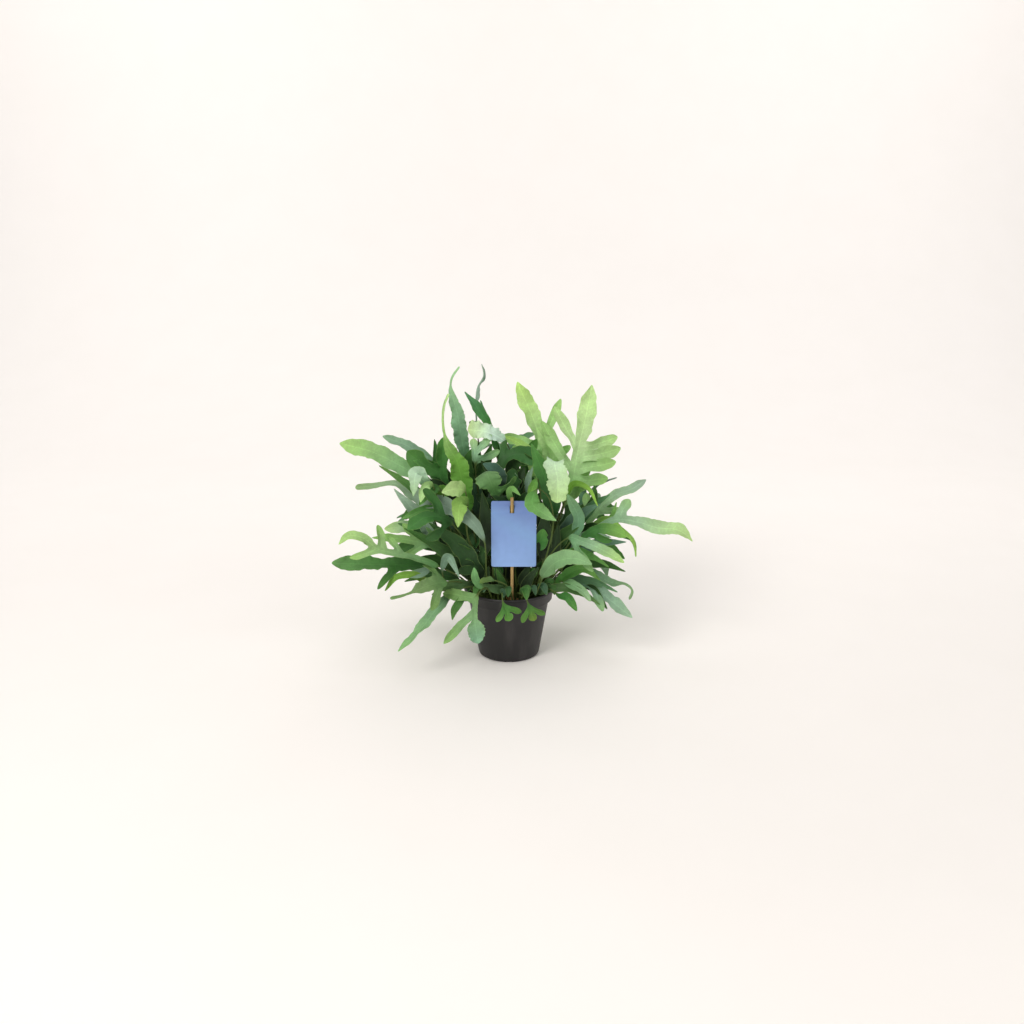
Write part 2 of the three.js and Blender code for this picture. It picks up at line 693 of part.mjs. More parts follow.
    path: [[72, -34, 160], [104, -40, 222], [86, -42, 268]], width: 18,
  },
  {
    name: "frond_card_top", tone: "frond_deep_green", root: [-22, -36], face: [FRONT, FRONT],
    path: [[-24, -44, 150], [-20, -38, 212], [-17, -31, 256], [-24, -43, 278], [-33, -52, 304]],
    width: 38, stalk: 2, step: 9, wing: 7, peak: 0.6, drawn: -3, lobes: [[0.3, "R", 34, 84, 13]],
  },
  {
    name: "frond_front_grey", tone: "frond_mint", root: [-32, -34], face: [FRONT, TILT],
    path: [[-34, -58, 160], [-35, -66, 199], [-56, -67, 235], [-91, -53, 250], [-131, -43, 262],
      [-167, -36, 281], [-197, -31, 277], [-230, -27, 273]],
    width: 24, tail: 0.78, strand: 4.5,
  },
  {
    name: "frond_left_shadow", tone: "frond_deep_green", root: [-30, -22], face: [FRONT, TILT],
    path: [[-56, -32, 171], [-81, -56, 223], [-101, -76, 241], [-122, -90, 243], [-145, -98, 227]], width: 20,
    lobes: [[0.35, "R", 42, 50, 20], [0.2, "L", 40, 62, 18]],
  },
  {
    name: "frond_left_pale", tone: "frond_mint", root: [-36, -6], face: [FRONT, FRONT],
    path: [[-71, -10, 159], [-96, -16, 188], [-123, -20, 205], [-152, -22, 212], [-189, -24, 208]],
    width: 18, lobes: [[0.25, "R", 40, 46, 16], [0.35, "L", 28, 50, 12]],
  },
  {
    name: "frond_left_thin", tone: "frond_blue_green", root: [-40, -16], face: [FRONT, TILT],
    path: [[-68, -28, 147], [-97, -39, 180], [-126, -47, 193], [-160, -54, 201], [-203, -60, 205]], width: 13,
    lobes: [[0.45, "R", 28, 40, 11], [0.16, "R", 32, 60, 14], [0.3, "L", 30, 48, 12]],
  },
  {
    name: "frond_left_lobed", tone: "frond_fresh_green", root: [-42, -23], face: [FRONT, TILT],
    path: [[-72, -46, 138], [-102, -64, 161], [-130, -80, 178], [-160, -96, 191], [-186, -108, 202],
      [-207, -118, 222], [-224, -124, 226], [-239, -130, 215]],
    width: 15, wing: 4.5, lobes: [[0.42, "R", 24, 46, 10], [0.6, "R", 32, 64, 13], [0.62, "L", 34, 58, 10]],
  },
  // Fronds that reach out low over the rim.
  {
    name: "frond_low_left_dark", tone: "frond_deep_green", root: [-52, -12], face: [SKY, TILT],
    path: [[-73, -20, 130], [-104, -34, 146], [-145, -46, 157], [-203, -60, 163], [-261, -76, 171]],
    width: 23, drawn: -1, lobes: [[0.45, "L", 40, 58, 11]],
  },
  {
    name: "frond_low_left_olive", tone: "frond_fresh_green", root: [-46, -30], face: [SKY, TILT],
    path: [[-67, -52, 132], [-88, -74, 141], [-117, -98, 143], [-145, -114, 136], [-170, -128, 134]],
    width: 23, tail: 0.66, strand: 2.4, lobes: [[0.3, "L", 38, 52, 13], [0.18, "R", 28, 72, 14]],
  },
  {
    name: "frond_low_left_hanging", tone: "frond_blue_green", root: [-36, -42],
    face: [SKY, [-0.6, -0.8, 0.4]],
    path: [[-55, -53, 127], [-82, -62, 119], [-108, -82, 99], [-130, -104, 76], [-161, -130, 53]], width: 18,
  },
  {
    name: "frond_front_star", tone: "frond_blue_green", root: [-23, -50], face: [SKY, FRONT],
    path: [[-34, -68, 132], [-45, -86, 126], [-50, -98, 96], [-45, -101, 54]], width: 25, step: 7.5, wing: 4,
    lobes: [[0.14, "R", 54, 96, 17], [0.36, "R", 56, 46, 13]],
  },
  {
    name: "frond_front_small_left", tone: "frond_fresh_green", root: [-8, -54], face: [SKY, FRONT],
    path: [[-10, -72, 126], [-9, -81, 114], [2, -87, 84]], width: 14, step: 7, wing: 3,
    lobes: [[0.35, "R", 20, 60, 9], [0.35, "L", 24, 58, 9]],
  },
  {
    name: "frond_front_small_right", tone: "frond_fresh_green", root: [19, -52], face: [SKY, FRONT],
    path: [[22, -71, 124], [28, -81, 112], [38, -87, 84]], width: 13, step: 7, wing: 3,
    lobes: [[0.35, "R", 20, 52, 9], [0.35, "L", 20, 52, 9]],
  },
  {
    name: "frond_front_olive", tone: "frond_fresh_green", root: [6, -52], face: [SKY, SKY],
    path: [[0, -59, 128], [-20, -65, 140], [-44, -68, 138]], width: 16, step: 8,
  },
  {
    name: "frond_front_young", tone: "frond_deep_green", root: [-14, -50], face: [FRONT, FRONT],
    path: [[-20, -54, 120], [-36, -59, 124], [-48, -62, 138], [-52, -62, 160]], width: 12, step: 6,
  },
  {
    name: "frond_low_right_small", tone: "frond_deep_green", root: [42, -36], face: [SKY, FRONT],
    path: [[60, -56, 125], [76, -70, 117], [88, -79, 118], [101, -90, 100]], width: 13,
  },
  {
    name: "frond_low_right_front", tone: "frond_fresh_green", root: [49, -26], face: [SKY, TILT],
    path: [[70, -44, 132], [87, -58, 134], [106, -72, 128], [122, -84, 113]], width: 15,
  },
  {
    name: "frond_low_right_long", tone: "frond_blue_green", root: [54, -12], face: [SKY, TILT],
    path: [[78, -22, 130], [101, -34, 130], [132, -48, 120], [155, -58, 104], [186, -72, 83]], width: 20,
    lobes: [[0.35, "R", 36, 44, 13]],
  },
  {
    name: "frond_low_right_tail", tone: "frond_blue_green", root: [55, 2], face: [SKY, TILT],
    path: [[80, 0, 132], [105, 4, 137], [137, 10, 123], [163, 16, 108],
      [184, 20, 105], [196, 22, 93], [191, 22, 77]],
    width: 16, tail: 0.7, strand: 2.2,
  },
  {
    name: "frond_right_grey", tone: "frond_mint", root: [36, -42], face: [FRONT, TILT],
    path: [[45, -58, 126], [54, -74, 156], [72, -92, 179], [95, -106, 187], [120, -118, 182]], width: 25,
  },
  // Lobed fronds deep in the clump.
  {
    name: "frond_inner_left", tone: "frond_deep_green", root: [-30, 10], face: [FRONT, TILT],
    path: [[-62, 18, 164], [-96, 30, 201], [-133, 46, 216], [-173, 62, 203]], width: 20, stalk: 0, wing: 7,
    lobes: [[0.2, "R", 44, 58, 18], [0.3, "L", 46, 60, 18], [0.46, "R", 38, 50, 16], [0.56, "L", 36, 50, 16]],
  },
  {
    name: "frond_inner_left_low", tone: "frond_deep_green", root: [-46, 2], face: [FRONT, TILT],
    path: [[-72, 2, 142], [-105, 6, 164], [-144, 10, 172], [-179, 14, 160]], width: 19, stalk: 0, wing: 6,
    lobes: [[0.22, "R", 40, 60, 17], [0.34, "L", 38, 58, 16], [0.5, "R", 34, 50, 15]],
  },
  {
    name: "frond_inner_front_left", tone: "frond_deep_green", root: [-12, -30], face: [FRONT, FRONT],
    path: [[-34, -40, 140], [-56, -46, 172], [-84, -50, 184], [-108, -52, 176]], width: 20, stalk: 0, wing: 6,
    lobes: [[0.3, "R", 38, 60, 17], [0.2, "L", 30, 60, 15]],
  },
  {
    name: "frond_inner_right", tone: "frond_deep_green", root: [30, 16], face: [FRONT, TILT],
    path: [[58, 24, 164], [93, 38, 205], [130, 56, 223], [169, 70, 216]], width: 20, stalk: 0, wing: 7,
    lobes: [[0.2, "L", 44, 58, 18], [0.3, "R", 46, 60, 18], [0.46, "L", 38, 50, 16], [0.56, "R", 36, 50, 16]],
  },
  {
    name: "frond_inner_right_low", tone: "frond_deep_green", root: [47, 8], face: [FRONT, TILT],
    path: [[74, 14, 138], [104, 14, 158], [134, 16, 168], [160, 18, 162], [183, 20, 146]],
    width: 17, stalk: 0, wing: 6, lobes: [[0.22, "L", 24, 60, 14], [0.34, "R", 34, 58, 15]],
  },
  {
    name: "frond_inner_crown", tone: "frond_deep_green", root: [2, 20], face: [FRONT, FRONT],
    path: [[4, 32, 190], [14, 38, 250], [28, 40, 300], [44, 40, 335]], width: 20, stalk: 0, wing: 6,
    lobes: [[0.3, "L", 40, 58, 17], [0.4, "R", 28, 56, 15], [0.6, "L", 36, 50, 15]],
  },
  // Fronds of the far side.
  {
    name: "frond_far_right", tone: "frond_blue_green", root: [36, 24], face: [SKY, [0.4, 0.2, 1]],
    path: [[68, 52, 160], [108, 92, 206], [142, 122, 214], [182, 152, 186]], width: 20, wing: 6,
    lobes: [[0.2, "R", 54, 58, 18], [0.24, "L", 54, 58, 18], [0.5, "R", 42, 50, 16], [0.54, "L", 42, 50, 16]],
  },
  {
    name: "frond_far_mid_right", tone: "frond_fresh_green", root: [20, 34], face: [[0, 0, 1], [0.2, 0.5, 1]],
    path: [[40, 80, 190], [60, 130, 250], [74, 172, 250], [88, 214, 210]], width: 20, wing: 6,
    lobes: [[0.2, "R", 58, 60, 18], [0.24, "L", 54, 60, 18], [0.5, "R", 44, 50, 16], [0.54, "L", 44, 50, 16]],
  },
  {
    name: "frond_far_middle", tone: "frond_blue_green", root: [0, 38], face: [[0, 0, 1], [0, 0.6, 1]],
    path: [[-2, 84, 210], [-6, 128, 290], [-10, 170, 300], [-14, 214, 262]], width: 22, wing: 6,
    lobes: [[0.2, "R", 60, 60, 19], [0.24, "L", 60, 60, 19], [0.5, "R", 46, 50, 16], [0.54, "L", 46, 50, 16]],
  },
  {
    name: "frond_far_mid_left", tone: "frond_deep_green", root: [-20, 32], face: [[0, 0, 1], [-0.2, 0.5, 1]],
    path: [[-44, 76, 180], [-70, 126, 236], [-90, 166, 238], [-112, 206, 204]], width: 20, wing: 6,
    lobes: [[0.2, "R", 56, 60, 18], [0.24, "L", 56, 60, 18], [0.5, "R", 44, 50, 16], [0.54, "L", 44, 50, 16]],
  },
  {
    name: "frond_far_left", tone: "frond_blue_green", root: [-38, 24], face: [SKY, [-0.4, 0.2, 1]],
    path: [[-70, 54, 156], [-108, 92, 196], [-142, 120, 202], [-182, 146, 178]], width: 20, wing: 6,
    lobes: [[0.2, "R", 52, 58, 18], [0.24, "L", 52, 58, 18], [0.5, "R", 40, 50, 16], [0.54, "L", 40, 50, 16]],
  },
  {
    name: "frond_far_low_right", tone: "frond_deep_green", root: [50, 24], face: [SKY, [0.6, 0.2, 0.8]],
    path: [[74, 44, 131], [110, 72, 138], [144, 98, 117], [166, 116, 83]], width: 26,
  },
  {
    name: "frond_far_low_back_right", tone: "frond_mint", root: [24, 47], face: [FAR, [0.2, 0.8, 0.6]],
    path: [[36, 76, 128], [56, 116, 140], [74, 152, 120], [88, 182, 82]], width: 28,
  },
  {
    name: "frond_far_low_back_left", tone: "frond_fresh_green", root: [-18, 49],
    face: [FAR, [-0.2, 0.8, 0.6]],
    path: [[-28, 78, 128], [-46, 116, 140], [-62, 154, 120], [-76, 184, 82]], width: 26,
  },
  {
    name: "frond_far_low_left", tone: "frond_blue_green", root: [-51, 22], face: [SKY, [-0.6, 0.2, 0.8]],
    path: [[-76, 38, 128], [-112, 64, 134], [-144, 88, 112], [-168, 104, 80]], width: 26,
  },
];

// Short side rhizomes at the soil's surface, each with its young fronds as one grown piece.
const TUFTS = [
  {
    name: "tuft_middle", tone: "frond_deep_green", rhizome: [[-6, -20], [4, -25], [16, -28]],
    fronds: [
      { root: [-6, -20], face: [FRONT, FRONT],
        path: [[-14, -27, 130], [-24, -30, 165], [-31, -31, 204]], width: 24 },
      { root: [1, -23], face: [FRONT, FRONT],
        path: [[0, -30, 122], [-9, -33, 138], [-24, -33, 148]], width: 17 },
      { root: [8, -26], face: [FRONT, FRONT],
        path: [[14, -32, 122], [26, -38, 140], [44, -40, 146]], width: 17 },
      { root: [16, -28], face: [FRONT, FRONT],
        path: [[26, -34, 140], [42, -38, 175], [52, -41, 214]], width: 22 },
    ],
  },
  {
    name: "tuft_back", tone: "frond_deep_green", rhizome: [[-8, 45], [1, 49], [10, 50]],
    fronds: [
      { root: [-8, 45], face: [FAR, FAR],
        path: [[-14, 62, 126], [-20, 84, 152], [-24, 112, 164]], width: 22 },
      { root: [2, 49], face: [FAR, FAR],
        path: [[4, 66, 128], [5, 92, 138], [4, 122, 120], [2, 140, 92]], width: 22 },
      { root: [10, 50], face: [FAR, FAR], path: [[15, 66, 126], [24, 86, 152], [30, 112, 172]], width: 20 },
    ],
  },
];

/** A short rhizome and its young fronds, grown together. */
function makeTuft(tuft, number) {
  const young = tuft.fronds.map((spec, k) => makeFrond({ ...spec, onRhizome: true }, number * 10 + k));
  return joined(young).add(makeRhizome(tuft.rhizome, RHIZOME.radius));
}

const roots = FRONDS.map((spec) => spec.root);
addPiece("pot", "pot_black", toGeometry(makePot()));
addPiece("soil", "soil_peat", toGeometry(makeSoil(roots)));
addPiece("label_stick", "stick_bamboo", toGeometry(makeStick()));
addPiece("label_card", "card_blue", toGeometry(makeCard()));
FRONDS.forEach((spec, number) => addPiece(spec.name, spec.tone, makeFrond(spec, number)));
TUFTS.forEach((tuft, number) => addPiece(tuft.name, tuft.tone, toGeometry(makeTuft(tuft, number + 20))));

export default part;
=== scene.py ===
# %% [markdown]
# # A blue star fern in its nursery pot
#
# This lesson dresses a imported model of a potted fern. The model fixes every size and place: the
# pot, the soil, the plant card on its stick, and some sixty fronds with their side lobes. What
# is made here is the fine surface of each of them, with its real material.
#
# The frame is loaded first, and the boxes of its parts give the sizes of the pot, the stick and the card.

import math
import random

import bpy
import numpy as np
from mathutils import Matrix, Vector, noise


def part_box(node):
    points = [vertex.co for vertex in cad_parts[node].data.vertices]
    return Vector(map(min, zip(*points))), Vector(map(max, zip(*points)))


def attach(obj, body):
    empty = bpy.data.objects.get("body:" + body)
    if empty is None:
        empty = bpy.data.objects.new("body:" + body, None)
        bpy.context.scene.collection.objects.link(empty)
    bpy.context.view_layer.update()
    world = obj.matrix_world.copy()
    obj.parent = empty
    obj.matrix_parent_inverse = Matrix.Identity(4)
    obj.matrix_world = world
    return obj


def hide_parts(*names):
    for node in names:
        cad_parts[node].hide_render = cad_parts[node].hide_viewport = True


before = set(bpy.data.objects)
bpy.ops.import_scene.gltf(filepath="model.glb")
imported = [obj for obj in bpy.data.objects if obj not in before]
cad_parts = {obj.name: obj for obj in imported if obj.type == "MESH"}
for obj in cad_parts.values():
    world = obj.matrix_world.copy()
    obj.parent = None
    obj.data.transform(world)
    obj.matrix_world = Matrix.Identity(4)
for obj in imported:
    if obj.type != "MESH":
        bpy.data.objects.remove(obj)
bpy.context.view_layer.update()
MM = 0.001
print(f"{len(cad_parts)} nodes in the frame")

# %% [markdown]
# ## Camera
#
# The plant is seen from the front, at the height of its tallest frond, looking down by fifteen
# degrees, so that the rim of the pot shows as a slim ellipse. A camera is aimed with the angles
# of a real tripod: a tilt from straight down, and no roll.

# %% Camera
CAMERA_PLACE = (0.0049, -1.4, 0.599)
CAMERA_TILT = math.radians(75.17)
CAMERA_LENS = 33.26
FILM_WIDTH = 36
bpy.ops.object.camera_add(location=CAMERA_PLACE, rotation=(CAMERA_TILT, 0, 0))
camera = bpy.context.object
camera.name = "front_camera"
camera.data.sensor_width = FILM_WIDTH
camera.data.lens = CAMERA_LENS
bpy.context.scene.camera = camera
print("camera at", CAMERA_PLACE)

# %% [markdown]
# ## Studio
#
# A plain cream floor runs up into a cream wall through a wide bend, as a paper roll does, so no horizon cuts
# through the picture. The light on the plant is soft: a large box high at the front left, a weaker one at
# the right, one above, and a strip behind that shines through the thin fronds, as plants are translucent.
# The paper could be lit by the same lamps, but it would fall off from white at the front to grey at the
# back, so two lamps hang above the plant, out of view, and are aimed at the wall.

# %% Helpers for colours and nodes
def linear(hex_colour):
    """An sRGB hex value as the linear colour that a shader takes."""
    parts = [int(hex_colour[k:k + 2], 16) / 255 for k in (1, 3, 5)]
    curve = [c / 12.92 if c <= 0.04045 else ((c + 0.055) / 1.055) ** 2.4 for c in parts]
    return (*curve, 1.0)


def add(tree, kind, inputs=None, **settings):
    """Adds a node. inputs holds a plain value, an output, or a node for its first output."""
    made = tree.nodes.new("ShaderNode" + kind)
    for name, value in settings.items():
        setattr(made, name, value)
    for name, value in (inputs or {}).items():
        if isinstance(value, bpy.types.Node):
            value = value.outputs[0]
        if isinstance(value, bpy.types.NodeSocket):
            tree.links.new(value, made.inputs[name])
        else:
            made.inputs[name].default_value = value
    return made


def new_material(name):
    """A material with an empty node tree and its output node."""
    material = bpy.data.materials.new(name)
    material.use_nodes = True
    material.node_tree.nodes.clear()
    return material, material.node_tree


def finish_with(tree, surface):
    """Leads the last shader to the output."""
    add(tree, "OutputMaterial", {"Surface": surface})


def select_only(*pieces):
    """Selects these objects and nothing else, the first of them active."""
    bpy.ops.object.select_all(action="DESELECT")
    for piece in pieces:
        piece.select_set(True)
    bpy.context.view_layer.objects.active = pieces[0]


# %% Floor and wall
FLOOR_SIZE = 9
FLOOR_MIDDLE = (0, -1.5, 0)
WALL_HEIGHT = 4
BEND_WIDTH = 1.6
NEAR = 0.01


def make_floor():
    """A floor whose far edge is drawn up into a wall, with the bend rounded by a bevel."""
    bpy.ops.mesh.primitive_plane_add(size=FLOOR_SIZE, location=FLOOR_MIDDLE)
    floor = bpy.context.object
    floor.name = "studio_floor"
    bpy.ops.object.transform_apply(location=True)
    bpy.ops.object.mode_set(mode="EDIT")
    bpy.ops.mesh.select_all(action="DESELECT")
    bpy.ops.object.mode_set(mode="OBJECT")
    far = max(v.co.y for v in floor.data.vertices)
    for edge in floor.data.edges:
        edge.select = all(floor.data.vertices[k].co.y > far - NEAR for k in edge.vertices)
    bpy.ops.object.mode_set(mode="EDIT")
    bpy.ops.mesh.extrude_region_move(TRANSFORM_OT_translate={"value": (0, 0, WALL_HEIGHT)})
    bpy.ops.object.mode_set(mode="OBJECT")
    for edge in floor.data.edges:
        ends = [floor.data.vertices[k].co for k in edge.vertices]
        edge.select = all(co.y > far - NEAR and co.z < NEAR for co in ends)
    bpy.ops.object.mode_set(mode="EDIT")
    bpy.ops.mesh.select_mode(type="EDGE")
    bpy.ops.mesh.bevel(offset=BEND_WIDTH, segments=24)
    bpy.ops.object.mode_set(mode="OBJECT")
    bpy.ops.object.shade_smooth()
    return floor


# Seamless background paper: matte, warm white, with the faintest mottling of its fibres.
paper, tree = new_material("background paper")
place = add(tree, "TexCoord")
fibres = add(tree, "TexNoise", {"Vector": place.outputs["Object"], "Scale": 6.0, "Detail": 4.0})
shades = add(tree, "ValToRGB", {"Fac": fibres})
shades.color_ramp.elements[0].color = linear("#FAF6F2")
shades.color_ramp.elements[1].color = linear("#FDF9F6")
sheet = add(tree, "BsdfPrincipled", {"Base Color": shades, "Roughness": 0.9})
finish_with(tree, sheet)

bpy.ops.object.select_all(action="DESELECT")
floor = make_floor()
floor.data.materials.append(paper)
print("floor", tuple(round(x, 2) for x in floor.dimensions))


# %% Lamps
LAMPS = {
    # name: (place, the point it is aimed at, size, power, colour)
    "key_box": ((-1.3, -1.9, 1.7), (0, 0, 0.22), 1.0, 40, "#FFFCF8"),
    "fill_box": ((1.7, -1.5, 1.1), (0, 0, 0.22), 1.6, 13, "#FEFDFA"),
    "back_strip": ((0.3, 0.9, 1.7), (0, 0, 0.3), 1.0, 4, "#FFFEFA"),
    "top_box": ((0, -0.5, 2.2), (0, -0.4, 0.1), 1.5, 8, "#FFFFFF"),
    "wall_wash_left": ((-1.8, 0.9, 2.4), (-2.0, 3, 1.0), 2.0, 30, "#FFFFFF"),
    "wall_wash_right": ((1.8, 0.9, 2.4), (2.0, 3, 1.0), 2.0, 30, "#FFFFFF"),
}
for name, (spot, target, size, power, colour) in LAMPS.items():
    bpy.ops.object.light_add(type="AREA", location=spot)
    lamp = bpy.context.object
    lamp.name = name
    lamp.data.size = size
    lamp.data.energy = power
    lamp.data.color = linear(colour)[:3]
    aim = Vector(target) - Vector(spot)
    lamp.rotation_euler = aim.to_track_quat("-Z", "Y").to_euler()

world = bpy.data.worlds.new("studio_air")
world.use_nodes = True
bpy.context.scene.world = world
air = world.node_tree.nodes["Background"]
air.inputs["Color"].default_value = linear("#FFFBF8")
air.inputs["Strength"].default_value = 0.29
bpy.context.scene.view_settings.view_transform = "Standard"
print(len(LAMPS), "lamps")

# %% [markdown]
# ## Nursery pot
#
# A grower's pot is injection moulded from black polypropylene: a thin wall, a stepped collar
# that lets pots stack, a ring to stand on with notches for the water, and drainage holes. Every
# section through its axis is the same, so its outline is drawn once and spun. The drains and
# notches are cut with a boolean, and the mould's small radii come from a bevel.

# %% Pot
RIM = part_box("pot")[1].x / MM
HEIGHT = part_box("pot")[1].z / MM
WALL = 2.2
COLLAR = 18
COLLAR_RADIUS = RIM - 2.5
BODY_RADIUS = COLLAR_RADIUS - 5
FOOT_RADIUS = 48
FLOOR_TOP = 5.4
MOULD_RADIUS = 0.35
SPIN_STEPS = 128
DRAIN_COUNT = 6
DRAIN_RADIUS = 4.5
DRAIN_RING = 27
NOTCH_RING = 45
NOTCH_SIZE = (16, 9, 3.6)


def spin_profile(name, profile):
    """Spins [radius, height] points in mm about the Z axis into a closed skin."""
    mesh = bpy.data.meshes.new(name)
    corners = [(radius * MM, 0, z * MM) for radius, z in profile]
    mesh.from_pydata(corners, [(k, k + 1) for k in range(len(corners) - 1)], [])
    piece = bpy.data.objects.new(name, mesh)
    bpy.context.collection.objects.link(piece)
    select_only(piece)
    bpy.ops.object.mode_set(mode="EDIT")
    bpy.ops.mesh.select_all(action="SELECT")
    bpy.ops.mesh.spin(steps=SPIN_STEPS, angle=math.tau, center=(0, 0, 0), axis=(0, 0, 1))
    bpy.ops.mesh.select_all(action="SELECT")
    bpy.ops.mesh.remove_doubles(threshold=0.00001)
    bpy.ops.mesh.normals_make_consistent(inside=False)
    bpy.ops.object.mode_set(mode="OBJECT")
    return piece


def inner_radius(z):
    """The pot's inner radius at a height, in mm."""
    share = (z - FLOOR_TOP) / (HEIGHT - COLLAR - FLOOR_TOP)
    return FOOT_RADIUS - WALL + share * (BODY_RADIUS - FOOT_RADIUS)


def apply_modifiers(piece):
    """Applies every modifier of a piece, from the first to the last."""
    select_only(piece)
    for modifier in list(piece.modifiers):
        bpy.ops.object.modifier_apply(modifier=modifier.name)


def cut_away(piece, name, cutter):
    """Takes the cutter's solid out of a piece, and removes the cutter."""
    cut = piece.modifiers.new(name, "BOOLEAN")
    cut.object = cutter
    cut.operation = "DIFFERENCE"
    cut.solver = "EXACT"
    apply_modifiers(piece)
    bpy.data.objects.remove(cutter)


def round_edges(piece, name, width, sharp):
    """Rounds the edges that turn by more than sharp degrees, with a bevel of a width in mm."""
    edge = piece.modifiers.new(name, "BEVEL")
    edge.width = width * MM
    edge.segments = 2
    edge.limit_method = "ANGLE"
    edge.angle_limit = math.radians(sharp)
    apply_modifiers(piece)


def shade_by_angle(degrees):
    """Shades the selected piece smooth, apart from edges that turn by more than this."""
    bpy.ops.object.shade_smooth_by_angle(angle=math.radians(degrees))


def make_pot():
    """The pot's outline, spun, with its drains and the notches of its foot cut away."""
    low = HEIGHT - COLLAR
    pot = spin_profile("nursery_pot", [
        (0, 0), (15, 0), (17, 3), (38, 3), (39, 0), (44, 0), (47, 1.5), (FOOT_RADIUS, 5),
        (FOOT_RADIUS + 0.6, 8), (BODY_RADIUS - 0.7, low - 6), (BODY_RADIUS, low - 2),
        (COLLAR_RADIUS, low), (COLLAR_RADIUS + 0.1, low + 2), (RIM - 0.7, HEIGHT - 5),
        (RIM, HEIGHT - 4.4), (RIM, HEIGHT - 0.9), (RIM - 0.6, HEIGHT), (RIM - WALL, HEIGHT),
        (COLLAR_RADIUS - WALL, low + 2.5), (inner_radius(low - 1), low - 1),
        (inner_radius(FLOOR_TOP + 3), FLOOR_TOP + 3), (inner_radius(FLOOR_TOP) - 3, FLOOR_TOP),
        (0, FLOOR_TOP),
    ])
    cutters = []
    for k in range(DRAIN_COUNT):
        turn = math.radians((k + 0.5) * 360 / DRAIN_COUNT)
        way = Vector((math.cos(turn), math.sin(turn), 0))
        bpy.ops.mesh.primitive_cylinder_add(vertices=32, radius=DRAIN_RADIUS * MM, depth=14 * MM,
                                            location=way * DRAIN_RING * MM)
        cutters.append(bpy.context.object)
        bpy.ops.mesh.primitive_cube_add(size=1, location=way * NOTCH_RING * MM, rotation=(0, 0, turn))
        cutters.append(bpy.context.object)
        cutters[-1].scale = Vector(NOTCH_SIZE) * MM
    select_only(*cutters)
    bpy.ops.object.transform_apply(location=False, rotation=False, scale=True)
    bpy.ops.object.join()
    cut_away(pot, "drains", bpy.context.object)
    round_edges(pot, "mould_radius", MOULD_RADIUS, 35)
    shade_by_angle(40)
    return pot


# Polypropylene, injection moulded: a satin black skin with a fine spark-eroded grain of about
# 0.4 mm, slightly paler where it was rubbed, and a film of pale dust and dried water.
def pot_plastic():
    material, tree = new_material("polypropylene, moulded satin black")
    place = add(tree, "TexCoord")
    grain = add(tree, "TexNoise", {"Vector": place.outputs["Object"], "Scale": 2400.0, "Detail": 2.0})
    flow = add(tree, "Mapping", {"Vector": place.outputs["Object"], "Scale": (60.0, 60.0, 9.0)})
    streaks = add(tree, "TexNoise", {"Vector": flow, "Scale": 1.0, "Detail": 5.0})
    dust = add(tree, "MapRange", {"Value": streaks, "From Min": 0.5, "From Max": 0.78})
    colour = add(tree, "Mix", {0: dust, 6: linear("#171617"), 7: linear("#302E2E")},
                 data_type="RGBA")
    rough = add(tree, "MapRange", {"Value": streaks, "To Min": 0.36, "To Max": 0.62})
    bump = add(tree, "Bump", {"Height": grain, "Strength": 0.25, "Distance": 0.0002})
    skin = add(tree, "BsdfPrincipled",
               {"Base Color": colour.outputs[2], "Roughness": rough, "IOR": 1.49, "Normal": bump})
    finish_with(tree, skin)
    return material


def settle(piece, body_slot, *nodes):
    """Gives a finished piece its place in the plant: it rides on the root and stands for the nodes it hides.
    body_slot is not used.
    """
    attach(piece, "root")
    if nodes:
        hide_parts(*nodes)
    return piece


pot = make_pot()
pot.data.materials.append(pot_plastic())
settle(pot, "pot_black", "pot")
print("pot:", len(pot.data.polygons), "faces,", round(pot.dimensions.x / MM), "mm across")

# %% [markdown]
# ## Potting soil
#
# Peat with composted bark. The mound is spun as the pot was, then its top is pushed up and down
# by noise, in lumps of about 12 mm and crumbs of 3 mm. Loose bark chips and a few grains of
# white perlite lie half sunk on top, because a soil without loose pieces looks like felt.

# %% Soil
SOIL_EDGE = 90
SOIL_MOUND = 5
SOIL_GAP = 0.4  # between the soil and the pot
SOIL_RINGS = 34
LUMP_SIZE, LUMP_RISE = 12, 1.5
GRIT_SIZE, GRIT_RISE = 3.2, 0.9


def soil_height(radius):
    """Height of the soil's surface at a radius, in mm."""
    share = radius / inner_radius(SOIL_EDGE)
    return SOIL_EDGE + SOIL_MOUND * (1 - share * share)


def make_soil():
    """The soil's body, spun like the pot, with its top pushed up and down by noise."""
    edge = inner_radius(SOIL_EDGE) - SOIL_GAP
    rings = [edge * (1 - k / SOIL_RINGS) for k in range(SOIL_RINGS + 1)]
    base = FLOOR_TOP + SOIL_GAP
    soil = spin_profile("potting_soil", [
        (0, base), (inner_radius(base) - 3 - SOIL_GAP, base),
        (inner_radius(base + 3) - SOIL_GAP, base + 3.2), *((ring, soil_height(ring)) for ring in rings),
    ])
    for corner in soil.data.vertices:
        x, y, z = corner.co / MM
        if z > SOIL_EDGE - 1:
            lumps = noise.noise(Vector((x, y, 3)) / LUMP_SIZE) * LUMP_RISE
            grit = noise.noise(Vector((x, y, 7)) / GRIT_SIZE) * GRIT_RISE
            fade = min(1, (edge - math.hypot(x, y)) / 4 + 0.2)
            corner.co.z += (lumps + grit) * fade * MM
    bpy.ops.object.shade_smooth()
    return soil


CHIP_COUNT = 330
CHIP_REACH = 58
PERLITE_EVERY = 14


